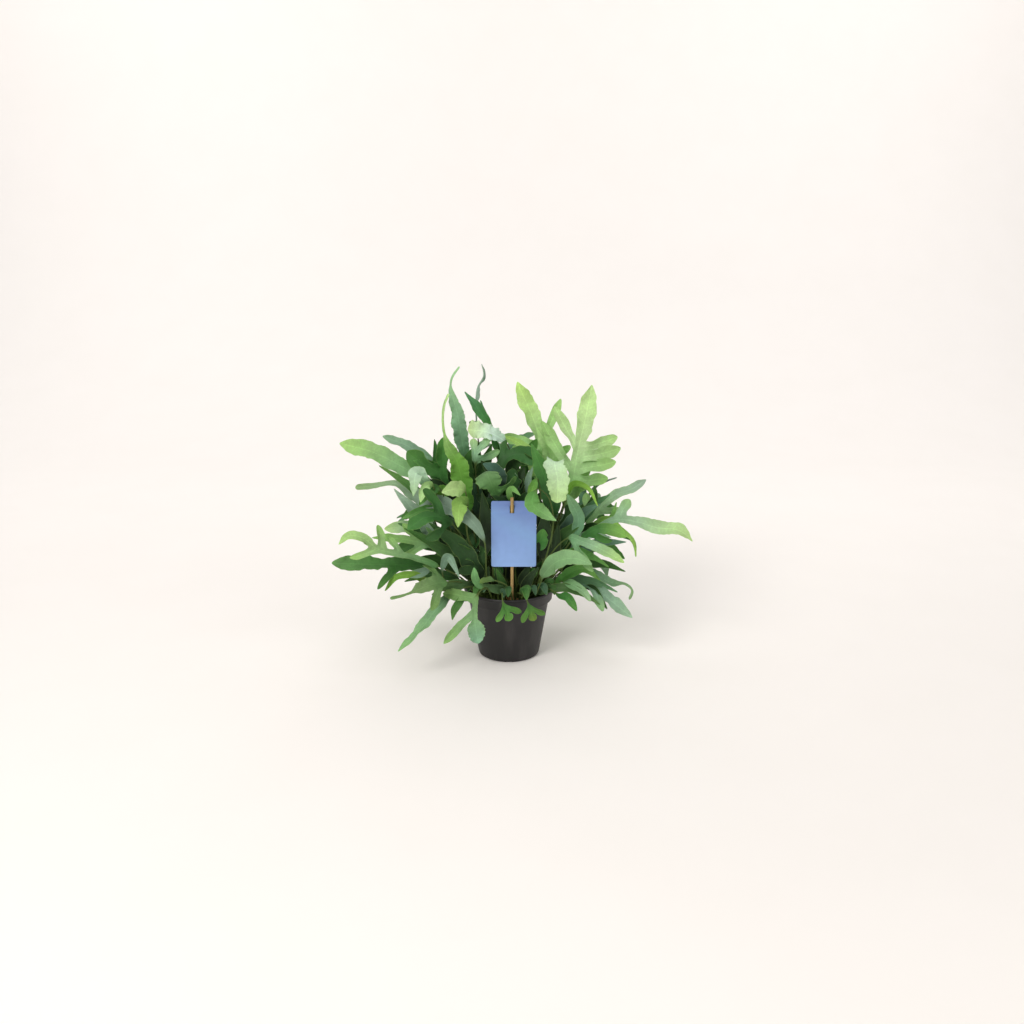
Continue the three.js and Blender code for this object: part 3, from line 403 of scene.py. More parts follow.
def scatter_crumbs():
    """Bark chips and perlite: one small ball squashed and turned afresh for each, then joined."""
    draw = random.Random(12)
    chips = []
    for k in range(CHIP_COUNT):
        turn, radius = draw.uniform(0, math.tau), CHIP_REACH * math.sqrt(draw.random())
        size = draw.uniform(1.1, 2.6)
        perlite = k % PERLITE_EVERY == 0
        spot = Vector((radius * math.cos(turn), radius * math.sin(turn), soil_height(radius) + 0.3 * size))
        bpy.ops.mesh.primitive_ico_sphere_add(subdivisions=1, radius=size * MM, location=spot * MM)
        chip = bpy.context.object
        long = 1.0 if perlite else draw.uniform(0.9, 2.1)
        chip.scale = (long, draw.uniform(0.7, 1.1), 1.0 if perlite else draw.uniform(0.35, 0.75))
        chip.rotation_euler = [draw.uniform(-0.5, 0.5), draw.uniform(-0.5, 0.5), draw.uniform(0, 6)]
        for corner in chip.data.vertices:
            corner.co *= draw.uniform(0.78, 1.2)
        chip.data.materials.append(perlite_grain if perlite else bark_chip)
        chips.append(chip)
    select_only(*chips)
    bpy.ops.object.transform_apply(location=True, rotation=True, scale=True)
    bpy.ops.object.join()
    bpy.context.object.name = "soil_crumbs"
    return bpy.context.object


# Peat, milled and damp: nearly black brown, very rough, with fibres that catch a little light.
def earth(name, dark, light, scale, depth):
    material, tree = new_material(name)
    place = add(tree, "TexCoord")
    crumbs = add(tree, "TexNoise", {"Vector": place.outputs["Object"], "Scale": scale, "Detail": 6.0})
    shades = add(tree, "ValToRGB", {"Fac": crumbs})
    shades.color_ramp.elements[0].position = 0.35
    shades.color_ramp.elements[1].position = 0.7
    shades.color_ramp.elements[0].color = linear(dark)
    shades.color_ramp.elements[1].color = linear(light)
    bump = add(tree, "Bump", {"Height": crumbs, "Strength": 0.8, "Distance": depth * MM})
    skin = add(tree, "BsdfPrincipled", {"Base Color": shades, "Roughness": 0.92, "Normal": bump})
    finish_with(tree, skin)
    return material


peat = earth("peat, milled and damp", "#14100C", "#3A2C22", 420.0, 1.2)
bark_chip = earth("composted bark", "#211811", "#4C3828", 700.0, 0.5)
perlite_grain = earth("perlite, expanded", "#B9B4AA", "#E4E0D6", 900.0, 0.4)
soil = make_soil()
soil.data.materials.append(peat)
settle(soil, "soil_peat", "soil")
crumbs = settle(scatter_crumbs(), "soil_peat")
print("soil:", len(soil.data.polygons), "faces; crumbs:", len(crumbs.data.polygons))

# %% [markdown]
# ## Bamboo stick and plant card
#
# The stick is split bamboo: straight, a little rough along its fibres, with one low joint. The
# card is a sheet of printed plastic, punched with a slot near its top, so that the stick runs
# behind it and comes out in front of its head. It starts as a plane with its corners rounded by
# a bevel, is bisected across so that it can bend, and gets its thickness last.

# %% Stick
STICK_LOW, STICK_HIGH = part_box("label_stick")
STICK_X = (STICK_LOW.x + STICK_HIGH.x) / 2 / MM
STICK_Y = (STICK_LOW.y + STICK_HIGH.y) / 2 / MM
STICK_RADIUS = 2.4
JOINT_RISE = 85.2


def make_stick():
    """A rod that is bisected across, closely at its joint, which swells over a slight groove."""
    tall = (STICK_HIGH.z - STICK_LOW.z) / MM
    middle = Vector((STICK_X, STICK_Y, STICK_LOW.z / MM + tall / 2)) * MM
    bpy.ops.mesh.primitive_cylinder_add(vertices=28, radius=STICK_RADIUS * MM, depth=tall * MM,
                                        location=middle)
    stick = bpy.context.object
    stick.name = "bamboo_stick"
    bpy.ops.object.transform_apply(location=True)
    bpy.ops.object.mode_set(mode="EDIT")
    joint = STICK_LOW.z + JOINT_RISE * MM
    close = [0.6 * k for k in range(-6, 7)]
    for rise in [*close, *range(-84, -8, 12), *range(12, 132, 12)]:
        bpy.ops.mesh.select_all(action="SELECT")
        bpy.ops.mesh.bisect(plane_co=(0, 0, joint + rise * MM), plane_no=(0, 0, 1))
    bpy.ops.object.mode_set(mode="OBJECT")
    for corner in stick.data.vertices:
        rise = (corner.co.z - joint) / MM
        swell = 1 + 0.1 * math.exp(-((rise / 1.3) ** 2)) - 0.06 * math.exp(-(((rise + 2.6) / 0.9) ** 2))
        corner.co.x = STICK_X * MM + (corner.co.x - STICK_X * MM) * swell
        corner.co.y = STICK_Y * MM + (corner.co.y - STICK_Y * MM) * swell
    round_edges(stick, "cut_edge", 0.3, 50)
    shade_by_angle(35)
    return stick


# Bamboo, split and planed: straw brown with long darker fibres about 0.5 mm apart.
def bamboo():
    material, tree = new_material("bamboo, split and planed")
    place = add(tree, "TexCoord")
    along = add(tree, "Mapping", {"Vector": place.outputs["Object"], "Scale": (1800.0, 1800.0, 24.0)})
    fibres = add(tree, "TexNoise", {"Vector": along, "Scale": 1.0, "Detail": 3.0})
    shades = add(tree, "ValToRGB", {"Fac": fibres})
    shades.color_ramp.elements[0].position = 0.32
    shades.color_ramp.elements[1].position = 0.66
    shades.color_ramp.elements[0].color = linear("#8A6A38")
    shades.color_ramp.elements[1].color = linear("#CDB076")
    bump = add(tree, "Bump", {"Height": fibres, "Strength": 0.4, "Distance": 0.0002})
    skin = add(tree, "BsdfPrincipled", {"Base Color": shades, "Roughness": 0.55, "Normal": bump})
    finish_with(tree, skin)
    return material


stick = make_stick()
stick.data.materials.append(bamboo())
settle(stick, "stick_bamboo", "label_stick")
print("stick:", len(stick.data.polygons), "faces")

# %% Card
CARD_LOW, CARD_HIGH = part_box("label_card")
CARD_THICK = 0.8
CARD_CORNER = 3
FOLD_LOW, FOLD_HIGH = 237.5, 249
SLOT_LOW, SLOT_HIGH = 239, 249.5
SLOT_SPARE = 1


def card_depth(z):
    """Where the sheet's middle lies in y at a height, in mm: in front of the stick, then behind."""
    front = CARD_LOW.y / MM + CARD_THICK / 2
    back = CARD_HIGH.y / MM - CARD_THICK / 2
    share = min(1, max(0, (z - FOLD_LOW) / (FOLD_HIGH - FOLD_LOW)))
    return front + (back - front) * share * share * (3 - 2 * share)


def make_card():
    """A sheet with round corners, bent over the fold, thickened and punched for the stick."""
    low, high = CARD_LOW / MM, CARD_HIGH / MM
    bpy.ops.mesh.primitive_plane_add(size=1, rotation=(math.pi / 2, 0, 0))
    card = bpy.context.object
    card.name = "plant_card"
    card.scale = ((high.x - low.x) * MM, (high.z - low.z) * MM, 1)
    card.location = ((low.x + high.x) / 2 * MM, 0, (low.z + high.z) / 2 * MM)
    bpy.ops.object.transform_apply(location=True, rotation=True, scale=True)
    bpy.ops.object.mode_set(mode="EDIT")
    bpy.ops.mesh.select_all(action="SELECT")
    bpy.ops.mesh.bevel(offset=CARD_CORNER * MM, segments=8, affect="VERTICES")
    wide, close = range(170, 236, 10), range(237, 252)
    for z in [*wide, *close, 253.5]:
        bpy.ops.mesh.select_all(action="SELECT")
        bpy.ops.mesh.bisect(plane_co=(0, 0, z * MM), plane_no=(0, 0, 1))
    bpy.ops.object.mode_set(mode="OBJECT")
    for corner in card.data.vertices:
        corner.co.y = card_depth(corner.co.z / MM) * MM
    sheet = card.modifiers.new("sheet", "SOLIDIFY")
    sheet.thickness = CARD_THICK * MM
    sheet.offset = 0
    apply_modifiers(card)
    slot = Vector((STICK_X, STICK_Y, (SLOT_LOW + SLOT_HIGH) / 2)) * MM
    bpy.ops.mesh.primitive_cube_add(size=1, location=slot)
    punch = bpy.context.object
    punch.scale = Vector((2 * (STICK_RADIUS + SLOT_SPARE), 30, SLOT_HIGH - SLOT_LOW)) * MM
    bpy.ops.object.transform_apply(location=False, rotation=False, scale=True)
    cut_away(card, "slot", punch)
    shade_by_angle(30)
    return card


# Polystyrene card, offset printed: a sky-blue flood that pales towards the foot, under a thin
# satin varnish. The print is left without words.
def printed_card():
    material, tree = new_material("polystyrene card, offset printed")
    place = add(tree, "TexCoord")
    spot = add(tree, "SeparateXYZ", {0: place.outputs["Object"]})
    height = add(tree, "MapRange", {"Value": spot.outputs["Z"], "From Min": CARD_LOW.z,
                                    "From Max": CARD_HIGH.z})
    flood = add(tree, "ValToRGB", {"Fac": height})
    flood.color_ramp.elements[0].color = linear("#88ACE2")
    flood.color_ramp.elements[1].color = linear("#6781BC")
    slope = add(tree, "Math", {0: spot.outputs["X"], 1: 0.6, 2: spot.outputs["Z"]}, operation="MULTIPLY_ADD")
    band = add(tree, "MapRange", {"Value": slope, "From Min": 0.2, "From Max": 0.222})
    back = add(tree, "MapRange", {"Value": slope, "From Min": 0.222, "From Max": 0.25,
                                  "To Min": 1, "To Max": 0})
    stripe = add(tree, "Math", {0: band, 1: back}, operation="MULTIPLY")
    faint = add(tree, "Math", {0: stripe, 1: 0.3}, operation="MULTIPLY")
    flood_band = add(tree, "Mix", {0: faint, 6: flood, 7: linear("#7FB0DA")},
                     data_type="RGBA")
    dots = add(tree, "TexNoise", {"Vector": place.outputs["Object"], "Scale": 120.0, "Detail": 3.0})
    cloud = add(tree, "MapRange", {"Value": dots, "To Min": 0.94, "To Max": 1.06})
    print_colour = add(tree, "Mix", {0: 1.0, 6: flood_band.outputs[2], 7: cloud},
                       data_type="RGBA", blend_type="MULTIPLY")
    skin = add(tree, "BsdfPrincipled", {
        "Base Color": print_colour.outputs[2], "Roughness": 0.38, "IOR": 1.55, "Coat Weight": 0.15,
        "Coat Roughness": 0.3,
    })
    finish_with(tree, skin)
    return material


card = make_card()
card.data.materials.append(printed_card())
settle(card, "card_blue", "label_card")
print("card:", len(card.data.polygons), "faces")

# %% [markdown]
# ## How a frond is laid out
#
# The blue star fern has strap-shaped blades, some of them cut into a few long lobes, on thin wiry
# stalks. A frond could be cut out of a flat sheet and bent, but its margins are wavier than its
# rib, as the edge of a real blade grows faster than its middle. So each frond is laid in rows
# along a smooth line from the soil to its tip, and each row has its own width, twist and wave.
#
# The line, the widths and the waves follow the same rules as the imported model, so the finished
# blade stays where its plain one is. Rows are closer here, and the section across a row is a
# curve instead of a fold.

# %% Smooth lines
SAMPLES = 24  # from one point of a line to the next


def smooth_line(points):
    """A smooth line through points in mm: its samples, the knot at each, and the distance run."""
    spots = [np.array(point, float) for point in points]
    spots = [2 * spots[0] - spots[1], *spots, 2 * spots[-1] - spots[-2]]
    size = [math.sqrt(np.linalg.norm(b - a)) for a, b in zip(spots, spots[1:])]

    def slope(k, span):
        before, after = spots[k] - spots[k - 1], spots[k + 1] - spots[k]
        across = (spots[k + 1] - spots[k - 1]) / (size[k - 1] + size[k])
        return span * (before / size[k - 1] - across + after / size[k])

    line, knots = [spots[1]], [0.0]
    for k in range(1, len(spots) - 2):
        leave, arrive = slope(k, size[k]), slope(k + 1, size[k])
        for t in np.arange(1, SAMPLES + 1) / SAMPLES:
            spot = spots[k] * (2 * t**3 - 3 * t**2 + 1) + leave * (t**3 - 2 * t**2 + t)
            line.append(spot + spots[k + 1] * (3 * t**2 - 2 * t**3) + arrive * (t**3 - t**2))
            knots.append(k - 1 + t)
    line = np.array(line)
    steps = np.linalg.norm(np.diff(line, axis=0), axis=1)
    return line, np.array(knots), np.concatenate([[0], np.cumsum(steps)])


def points_at(line, run):
    """Points of a smooth line at distances along it."""
    samples, _, runs = line
    return np.stack([np.interp(run, runs, samples[:, k]) for k in range(3)], axis=-1)


def unit(rows):
    """Each row at length 1."""
    return rows / np.linalg.norm(rows, axis=-1, keepdims=True)


def directions_at(line, run):
    """Directions of a smooth line at distances along it, each taken over 4 mm."""
    total = line[2][-1]
    return unit(points_at(line, np.minimum(run + 2, total)) - points_at(line, np.maximum(run - 2, 0)))


def turn_rows(along, face):
    """The upper side's normal and the way across to the right margin, for each row."""
    level = face - along * np.sum(along * face, axis=-1, keepdims=True)
    # The nudge to the front counts only where a stalk points straight the way its face looks.
    normal = unit(level + np.array((0, -1e-6, 0)))
    return normal, np.cross(along, normal)


def nearest(value):
    """The nearest whole number, halves upwards."""
    return math.floor(value + 0.5)


def ease(share):
    """A soft step from 0 to 1."""
    share = np.clip(share, 0, 1)
    return share * share * (3 - 2 * share)


def leaf_shape(share, peak, power):
    """Half width of a leaf from its foot (0) to its tip (1), widest at its peak."""
    rise = np.sin(np.clip(share / peak, 0, 1) * math.pi / 2) ** 0.7
    fall = 1 - np.clip((share - peak) / (1 - peak), 0, 1) ** power
    return np.where(share < peak, rise, fall)


# %% [markdown]
# ## One strip of a blade
#
# Each strip is a grid of quads: its columns run from the left margin to the right one, and its
# rows from foot to tip. Besides its places it carries what the materials need later: the
# distance from the rib and from the foot in mm, as UV, how near each corner is to the margin,
# and its tint. The sheet's half thickness goes into a vertex group for Solidify.

# %% Rows
COLUMNS = 8  # quads across a blade
STALK_STEP = 18  # between the rows of a stalk
WAVE_LENGTH = 42  # of a margin's broad waves
SLOW_WAVE, QUICK_WAVE = 17, 8.6  # its crinkles
SCALLOP_STEP, TOOTH_STEP = 26, 13  # its outline
PLEAT_STEP = 5.6  # the folds of a crisped margin
KEEL = 0.4  # rise of the margins over the rib, as a share of the half width
TWIST, TWIST_LENGTH = 0.22, 95
BLADE_EDGE, BLADE_RIB = 0.2, 0.75  # half thickness at the margin and at the rib
STALK_WIDE, STALK_THIN = 1.5, 0.95  # radius of a stalk at its foot and at its blade


def cross_section(spot, along, face, half, wave, phase, stalk, ripple, rib, columns, run,
                  crinkle=1.0, pleat=0.0):
    """Places, half thickness and distance from the rib for rows of corners across a blade."""
    x = np.linspace(-1, 1, columns + 1)[None, :]
    side = np.sign(x)
    half, wave, phase, stalk, ripple, rib, run = (
        np.broadcast_to(np.asarray(value, float), len(spot))[:, None]
        for value in (half, wave, phase, stalk, ripple, rib, run))
    normal, across = turn_rows(along, face)
    turn = TWIST * np.sin(run / TWIST_LENGTH * math.tau + phase[0]) * (1 - stalk)
    normal, across = (normal * np.cos(turn) + across * np.sin(turn),
                      across * np.cos(turn) - normal * np.sin(turn))
    u = stalk * np.sin(x * math.pi / 2) + (1 - stalk) * x
    out = half * (1 + ripple * np.sin(phase * 1.3 + side * 2)) * u
    lift = half * (1 - stalk) * (KEEL + wave * np.sin(phase + side * 1.2)) * np.abs(u) ** 1.2
    slow = np.sin(run / SLOW_WAVE * math.tau + side * 2.1 + phase * 0.7)
    quick = np.sin(run / QUICK_WAVE * math.tau + side + 1.3 * slow)
    crimp = crinkle * (1 - stalk) * np.minimum(0.11 * half, 1.3) * (slow + 0.6 * quick)
    lift = lift + crimp * np.abs(u) ** 2.5
    scallop = np.abs(np.sin(run / SCALLOP_STEP * math.pi + 1.7 * side + 0.6 * slow)) ** 0.6 - 0.7
    tooth = (run / TOOTH_STEP + 0.4 * side + 0.6 * slow) % 1 - 0.5
    notch = 0.12 * scallop + 0.11 * tooth
    out = out * (1 + crinkle * (1 - stalk) * np.abs(u) ** 2 * notch * np.clip(half / 8, 0, 1))
    folds = np.sin(run / PLEAT_STEP * math.tau + 2 * side + 0.8 * slow) * np.clip(half / 8, 0, 1)
    lift = lift + pleat * (1 - stalk) * folds * np.abs(u) ** 3
    out = out + 0.8 * pleat * (1 - stalk) * side * folds * np.abs(u) ** 6
    place = spot[:, None] + across[:, None] * out[..., None] + normal[:, None] * lift[..., None]
    round_stalk = half * np.sqrt(np.maximum(0.03, 1 - u * u))
    thin_blade = BLADE_EDGE + (rib - BLADE_EDGE) * np.exp(-((out / 1.9) ** 2))
    thick = stalk * np.minimum(round_stalk, 1.6) + (1 - stalk) * thin_blade
    return place, thick, out, normal, across


def lay_strip(name, place, thick, out, run, margin, tint):
    """One grid of quads with its UV, margin, tint and thickness, from arrays of rows of corners."""
    rows, columns = place.shape[:2]
    bpy.ops.mesh.primitive_grid_add(x_subdivisions=columns - 1, y_subdivisions=rows - 1, size=1)
    strip = bpy.context.object
    strip.name = name
    mesh = strip.data
    mesh.vertices.foreach_set("co", (place * MM).ravel())
    corner = np.empty(len(mesh.loops), np.int32)
    mesh.loops.foreach_get("vertex_index", corner)
    flat = np.stack([out.ravel(), np.broadcast_to(run[:, None], out.shape).ravel()], axis=-1)
    mesh.uv_layers[0].name = "blade"
    mesh.uv_layers["blade"].data.foreach_set("uv", flat[corner].astype(np.float32).ravel())
    mesh.attributes.new("margin", "FLOAT", "POINT").data.foreach_set("value", margin.ravel())
    mesh.attributes.new("tint", "FLOAT_COLOR", "POINT").data.foreach_set("color", tint.ravel())
    group = strip.vertex_groups.new(name="thickness")
    for k, half in enumerate(thick.ravel()):
        group.add([k], float(half) / STALK_WIDE, "REPLACE")
    return strip


# %% [markdown]
# ## Tints
#
# No two fronds have the same green. Young ones are yellow-green and turn blue-green as their waxy bloom
# comes, and the undersides are pale mint. Old fronds in the shade get deep green tints, darkest at the foot,
# which is painted shade on top of their own green. Each frond gets a colour at its foot, its middle and its
# tip, and its lobes take theirs from the place where they leave the blade, a little yellower towards their
# own tips.

# %% Tints of the fronds
TINTS = {
    # tone: foot, middle and tip of a frond that has no tints of its own
    "mint": "#7FAE88 #A2CBA4 #B9DDB0",
    "blue_green": "#5F9568 #7FAF8A #93C07F",
    "deep_green": "#3A7230 #3F7D33 #5F9C45",
    "fresh_green": "#6BA64A #93C866 #A9DB72",
}
# Old fronds inside the plant, and the low leaves: near-black greens, darkest at the foot, which is painted
# shade on top of their own deep green.
INNER_PAINTED_SHADE_TINTS = ["#1A3416 #26501F #36682C", "#1F3A24 #315A3A #476C4A", "#22421A #366826 #508438"]


def tint_rows(tints, share):
    """Linear colours along a frond, at shares of its blade's length."""
    stops = [linear(value) for value in tints.split()]
    place = np.clip(share, 0, 1)
    return np.stack([np.interp(place, [0, 0.45, 1], [stop[k] for stop in stops]) for k in range(3)], -1)


def paint(rows_colour, blade, columns):
    """Spreads each row's colour over its corners. The fourth channel is 0 on a stalk."""
    full = np.concatenate([rows_colour, np.broadcast_to(blade, len(rows_colour))[:, None]], axis=1)
    return np.repeat(full[:, None], columns, axis=1)


# %% [markdown]
# ## The fronds
#
# Every frond is described in plain measures, in mm: where it stands on the soil, its width, its
# tints, the points that its line passes, and its lobes. A lobe has a place along the blade, a
# side, a length, an angle and a width. What else a frond can have is listed once, with the value
# that holds where its own row says nothing.

# %% Measures of a frond
FRONT = (0, -1, 0.3)
TILT = (0, -0.8, 0.6)
SKY = (0, -0.5, 1)
FAR = (0, 0.4, 1)
USUAL = dict(
    tints="",  # foot, middle and tip; empty for those of its tone
    lobes=(),
    face=(FRONT, FRONT),  # the way its upper side looks, at its foot and at its tip
    stalk=1,  # how many points of its path belong to the bare stalk
    wing=5.5,  # half width of the strip that joins its lobes
    neck=0,  # share of a blade without lobes that is no wider than its wing
    peak=0.45,  # where the blade is widest, as a share of its length
    drawn=0,  # above 0 its tip is drawn out, and below 0 it is blunt
    tail=None,  # share of the blade after which only a strand is left
    strand=1.7,  # half width of that strand
    wave=0.2,  # height of the margin's waves, as a share of the half width
    crinkle=1.0,  # how much the margin is crinkled and toothed
    pleat=0.0,  # depth of its pleats
    sub=3,  # rows to each step along the blade
)
FRONDS = {}


def lay(name, tone, root, width, tints, path, lobes=(), **more):
    """Lays out one frond for the cells below."""
    FRONDS[name] = dict(tone=tone, root=root, width=width, tints=tints, path=path, lobes=lobes, **more)


print(len(USUAL), "measures have a usual value")

# %% Fronds of the crown
lay("crown_right", "fresh_green", (22, 12), 28, "#86BC70 #C8E4AC #D2F0A8",
    [(62, 18, 185), (95, 28, 256), (109, 46, 324), (120, 58, 369), (129, 70, 415)],
    [(0.08, "R", 46, 80, 19), (0.19, "R", 56, 76, 20), (0.3, "R", 60, 73, 20), (0.42, "R", 56, 68, 18),
     (0.06, "L", 44, 66, 16), (0.22, "L", 82, 46, 19), (0.42, "L", 62, 44, 17)],
    face=(FRONT, (0.2, -1, 0.4)), wing=8, peak=0.5, drawn=0.8)
lay("crown_back", "fresh_green", (10, 26), 27, "#8ABE7A #BEE09C #D0F090",
    [(30, 44, 189), (59, 62, 287), (45, 82, 341), (13, 108, 415)],
    [(0.08, "R", 40, 66, 14), (0.3, "R", 62, 48, 14), (0.13, "L", 46, 66, 17), (0.28, "L", 60, 60, 18)],
    face=(FRONT, (0, -1, 0.4)), wing=7, peak=0.5, drawn=0.8)
lay("crown_dark", "deep_green", (4, -2), 27, "#274E20 #305C26 #4A8444",
    [(0, -8, 180), (-16, -9, 257), (-12, -9, 302), (9, -9, 320), (48, -8, 312)],
    [(0.5, "L", 22, 60, 14)], face=((0, -0.7, 0.7), FRONT), wing=8, peak=0.6)
lay("upright_dark", "deep_green", (28, -6), 31, "#2C5E26 #33682A #5E9C48",
    [(63, -18, 165), (68, -22, 222), (57, -24, 278), (33, -22, 340)], peak=0.35, drawn=1)
lay("small_crown", "mint", (-10, -6), 12, "#4F8A45 #94C298 #BCE298",
    [(-32, -6, 190), (-47, -5, 264), (-51, -5, 304), (-53, -4, 344)],
    [(0.1, "R", 38, 80, 12), (0.42, "R", 32, 52, 11)], wing=4, step=7, stalk=2)
lay("crown_lean", "deep_green", (-4, 14), 15, "#3D7A34 #42803A #5C9466",
    [(-8, 22, 200), (-19, 32, 316), (-31, 36, 358), (-47, 39, 381), (-68, 42, 408)],
    [(0.3, "L", 30, 50, 11)], wing=5, peak=0.5, drawn=1.8)
lay("crown_pale", "mint", (10, 10), 25, "#B8DCC4 #DDF4EA #D8F2A4",
    [(10, 18, 220), (8, 24, 296), (-2, 16, 330), (-30, 6, 350), (-62, -2, 356)],
    face=(TILT, TILT), peak=0.78, drawn=-3, stalk=2, wave=0.26, pleat=1.0, crinkle=1.9, sub=6)
lay("crown_strap", "blue_green", (-14, 8), 22, "#558A5C #82AE88 #A3CE98",
    [(-42, 12, 200), (-64, 15, 288), (-71, 17, 337), (-78, 19, 379), (-87, 21, 412), (-85, 22, 430),
     (-73, 22, 448)],
    face=((0.3, -1, 0), (-0.3, -1, 0)), tail=0.84, strand=1.5, drawn=1, wave=0.25, pleat=0.2,
    crinkle=1.5, sub=6)
lay("crown_edge", "blue_green", (-8, 24), 16, "#6C8C70 #85A294 #8FAA9C",
    [(-30, 44, 230), (-50, 54, 350), (-49, 55, 410), (-39, 57, 430), (-42, 57, 449)],
    face=((1, 0.2, 0), (1, -0.2, 0)))
print(len(FRONDS), "fronds laid out")

# %% Fronds of the upper left
lay("high_left", "blue_green", (-24, 4), 28, "#5F9A56 #8AB67C #B8E084",
    [(-66, 6, 195), (-105, 10, 257), (-144, 16, 284), (-177, 30, 300), (-214, 46, 313), (-246, 60, 319),
     (-268, 70, 322)], face=(FRONT, (-0.3, -0.8, 0.6)), peak=0.6, drawn=-1)
lay("high_left_upper", "blue_green", (-18, 16), 16, "#5F8A64 #84AA8C #98BC98",
    [(-60, 24, 222), (-112, 40, 296), (-157, 60, 318), (-202, 86, 331)], face=(FRONT, TILT), drawn=-1)
lay("left_dark", "deep_green", (-18, -6), 20, "#33682A #3F7A30 #5A9640",
    [(-58, -12, 190), (-92, -15, 268), (-98, -15, 310), (-97, -15, 348)],
    [(0.3, "L", 58, 62, 30)], step=9)
lay("left_bright", "fresh_green", (-16, -16), 29, "#44802A #72A844 #C4E4A0",
    [(-44, -25, 166), (-58, -30, 233), (-68, -33, 280), (-76, -33, 313), (-89, -31, 337),
     (-96, -29, 369), (-94, -28, 396), (-87, -28, 414)],
    [(0.26, "L", 34, 96, 20)], peak=0.4, tail=0.7, drawn=1.2, pleat=0.3, crinkle=1.3, sub=6)
print(len(FRONDS), "fronds laid out")

# %% Fronds of the right and round the card
lay("front_crinkled", "mint", (36, -4), 30, "#4B8536 #CFE8D6 #CCEC9C",
    [(66, 2, 190), (86, -8, 256), (74, -50, 312), (66, -72, 320), (70, -86, 298), (69, -94, 266)],
    face=((0, 0.7, 0.7), FRONT), wing=4, peak=0.6, neck=0.45, drawn=-3, step=10, pleat=1.0, crinkle=1.6,
    sub=6)
lay("right_upper", "blue_green", (38, 2), 15, "#86B46C #A8CCA0 #A4BEAA",
    [(83, 2, 151), (118, 6, 204), (140, 10, 232), (165, 14, 252), (190, 20, 260), (213, 26, 274)],
    [(0.12, "L", 34, 50, 14), (0.25, "R", 34, 50, 12)], face=(FRONT, TILT), drawn=-1, wave=0.25)
lay("right_long", "blue_green", (40, -14), 20, "#6A9C70 #AECEA8 #C6E296",
    [(86, -24, 153), (130, -34, 209), (158, -44, 228), (190, -58, 228), (218, -70, 223),
     (247, -82, 222), (266, -92, 208)],
    [(0.3, "L", 28, 74, 15)], face=(FRONT, (0.3, -0.8, 0.7)), drawn=-1, wave=0.25)
lay("right_dark", "deep_green", (38, -24), 18, "#336A2C #47803A #8FC05A",
    [(77, -42, 150), (106, -56, 200), (129, -70, 221), (150, -82, 223), (171, -92, 215)],
    [(0.35, "R", 30, 45, 12)], face=(FRONT, TILT))
lay("right_drooping", "blue_green", (28, -30), 15, "#5F9660 #9CC498 #BCE084",
    [(56, -46, 165), (86, -62, 205), (106, -80, 206), (134, -98, 198), (165, -120, 185)],
    [(0.2, "R", 50, 38, 13)], face=(FRONT, TILT), drawn=-1)
lay("over_card", "fresh_green", (38, -38), 22, "#4F8F3C #7DB466 #92BE80",
    [(52, -56, 160), (66, -60, 226), (58, -62, 270), (43, -68, 282), (34, -72, 261), (47, -74, 248),
     (70, -76, 235)], peak=0.42, drawn=1.2, stalk=3, pleat=0.4, crinkle=1.3, sub=6)
lay("right_striped", "blue_green", (30, -20), 18, "#4C8558 #79AB80 #8EBE84",
    [(72, -34, 160), (104, -40, 222), (86, -42, 268)], stalk=0.5)
lay("card_top", "deep_green", (-22, -36), 38, "#33602C #53853F #7DA670",
    [(-24, -44, 150), (-20, -38, 212), (-17, -31, 256), (-24, -43, 278), (-33, -52, 304)],
    [(0.3, "R", 34, 84, 13)],
    wing=7, peak=0.6, drawn=-3, step=9, stalk=2, pleat=0.7, crinkle=1.4, sub=6)
print(len(FRONDS), "fronds laid out")

# %% Fronds of the left
lay("front_grey", "mint", (-32, -34), 24, "#6F8C74 #8CA692 #8AAC68",
    [(-34, -58, 160), (-35, -66, 199), (-56, -67, 235), (-91, -53, 250), (-131, -43, 262),
     (-167, -36, 281), (-197, -31, 277), (-230, -27, 273)], face=(FRONT, TILT), tail=0.78, strand=4.5)
lay("left_shadow", "deep_green", (-30, -22), 20, "#2A5422 #356C2C #4F8C3F",
    [(-56, -32, 171), (-81, -56, 223), (-101, -76, 241), (-122, -90, 243), (-145, -98, 227)],
    [(0.35, "R", 42, 50, 20), (0.2, "L", 40, 62, 18)], face=(FRONT, TILT))
lay("left_pale", "mint", (-36, -6), 18, "#84A88C #9EBFA6 #C0DE90",
    [(-71, -10, 159), (-96, -16, 188), (-123, -20, 205), (-152, -22, 212), (-189, -24, 208)],
    [(0.25, "R", 40, 46, 16), (0.35, "L", 28, 50, 12)])
lay("left_thin", "blue_green", (-40, -16), 13, "#5F9566 #84B068 #92C45C",
    [(-68, -28, 147), (-97, -39, 180), (-126, -47, 193), (-160, -54, 201), (-203, -60, 205)],
    [(0.45, "R", 28, 40, 11), (0.16, "R", 32, 60, 14), (0.3, "L", 30, 48, 12)],
    face=(FRONT, TILT), drawn=1.3)
lay("left_lobed", "fresh_green", (-42, -23), 15, "#5A8F50 #8CB47C #BEE090",
    [(-72, -46, 138), (-102, -64, 161), (-130, -80, 178), (-160, -96, 191), (-186, -108, 202),
     (-207, -118, 222), (-224, -124, 226), (-239, -130, 215)],
    [(0.42, "R", 24, 46, 10), (0.6, "R", 32, 64, 13), (0.62, "L", 34, 58, 10)],
    face=(FRONT, TILT), wing=4.5, drawn=1.3)
lay("low_left_dark", "deep_green", (-52, -12), 23, "#2F6428 #457C34 #6FA05C",
    [(-73, -20, 130), (-104, -34, 146), (-145, -46, 157), (-203, -60, 163), (-261, -76, 171)],
    [(0.45, "L", 40, 58, 11)], face=(SKY, TILT), wing=10.5, drawn=-1)
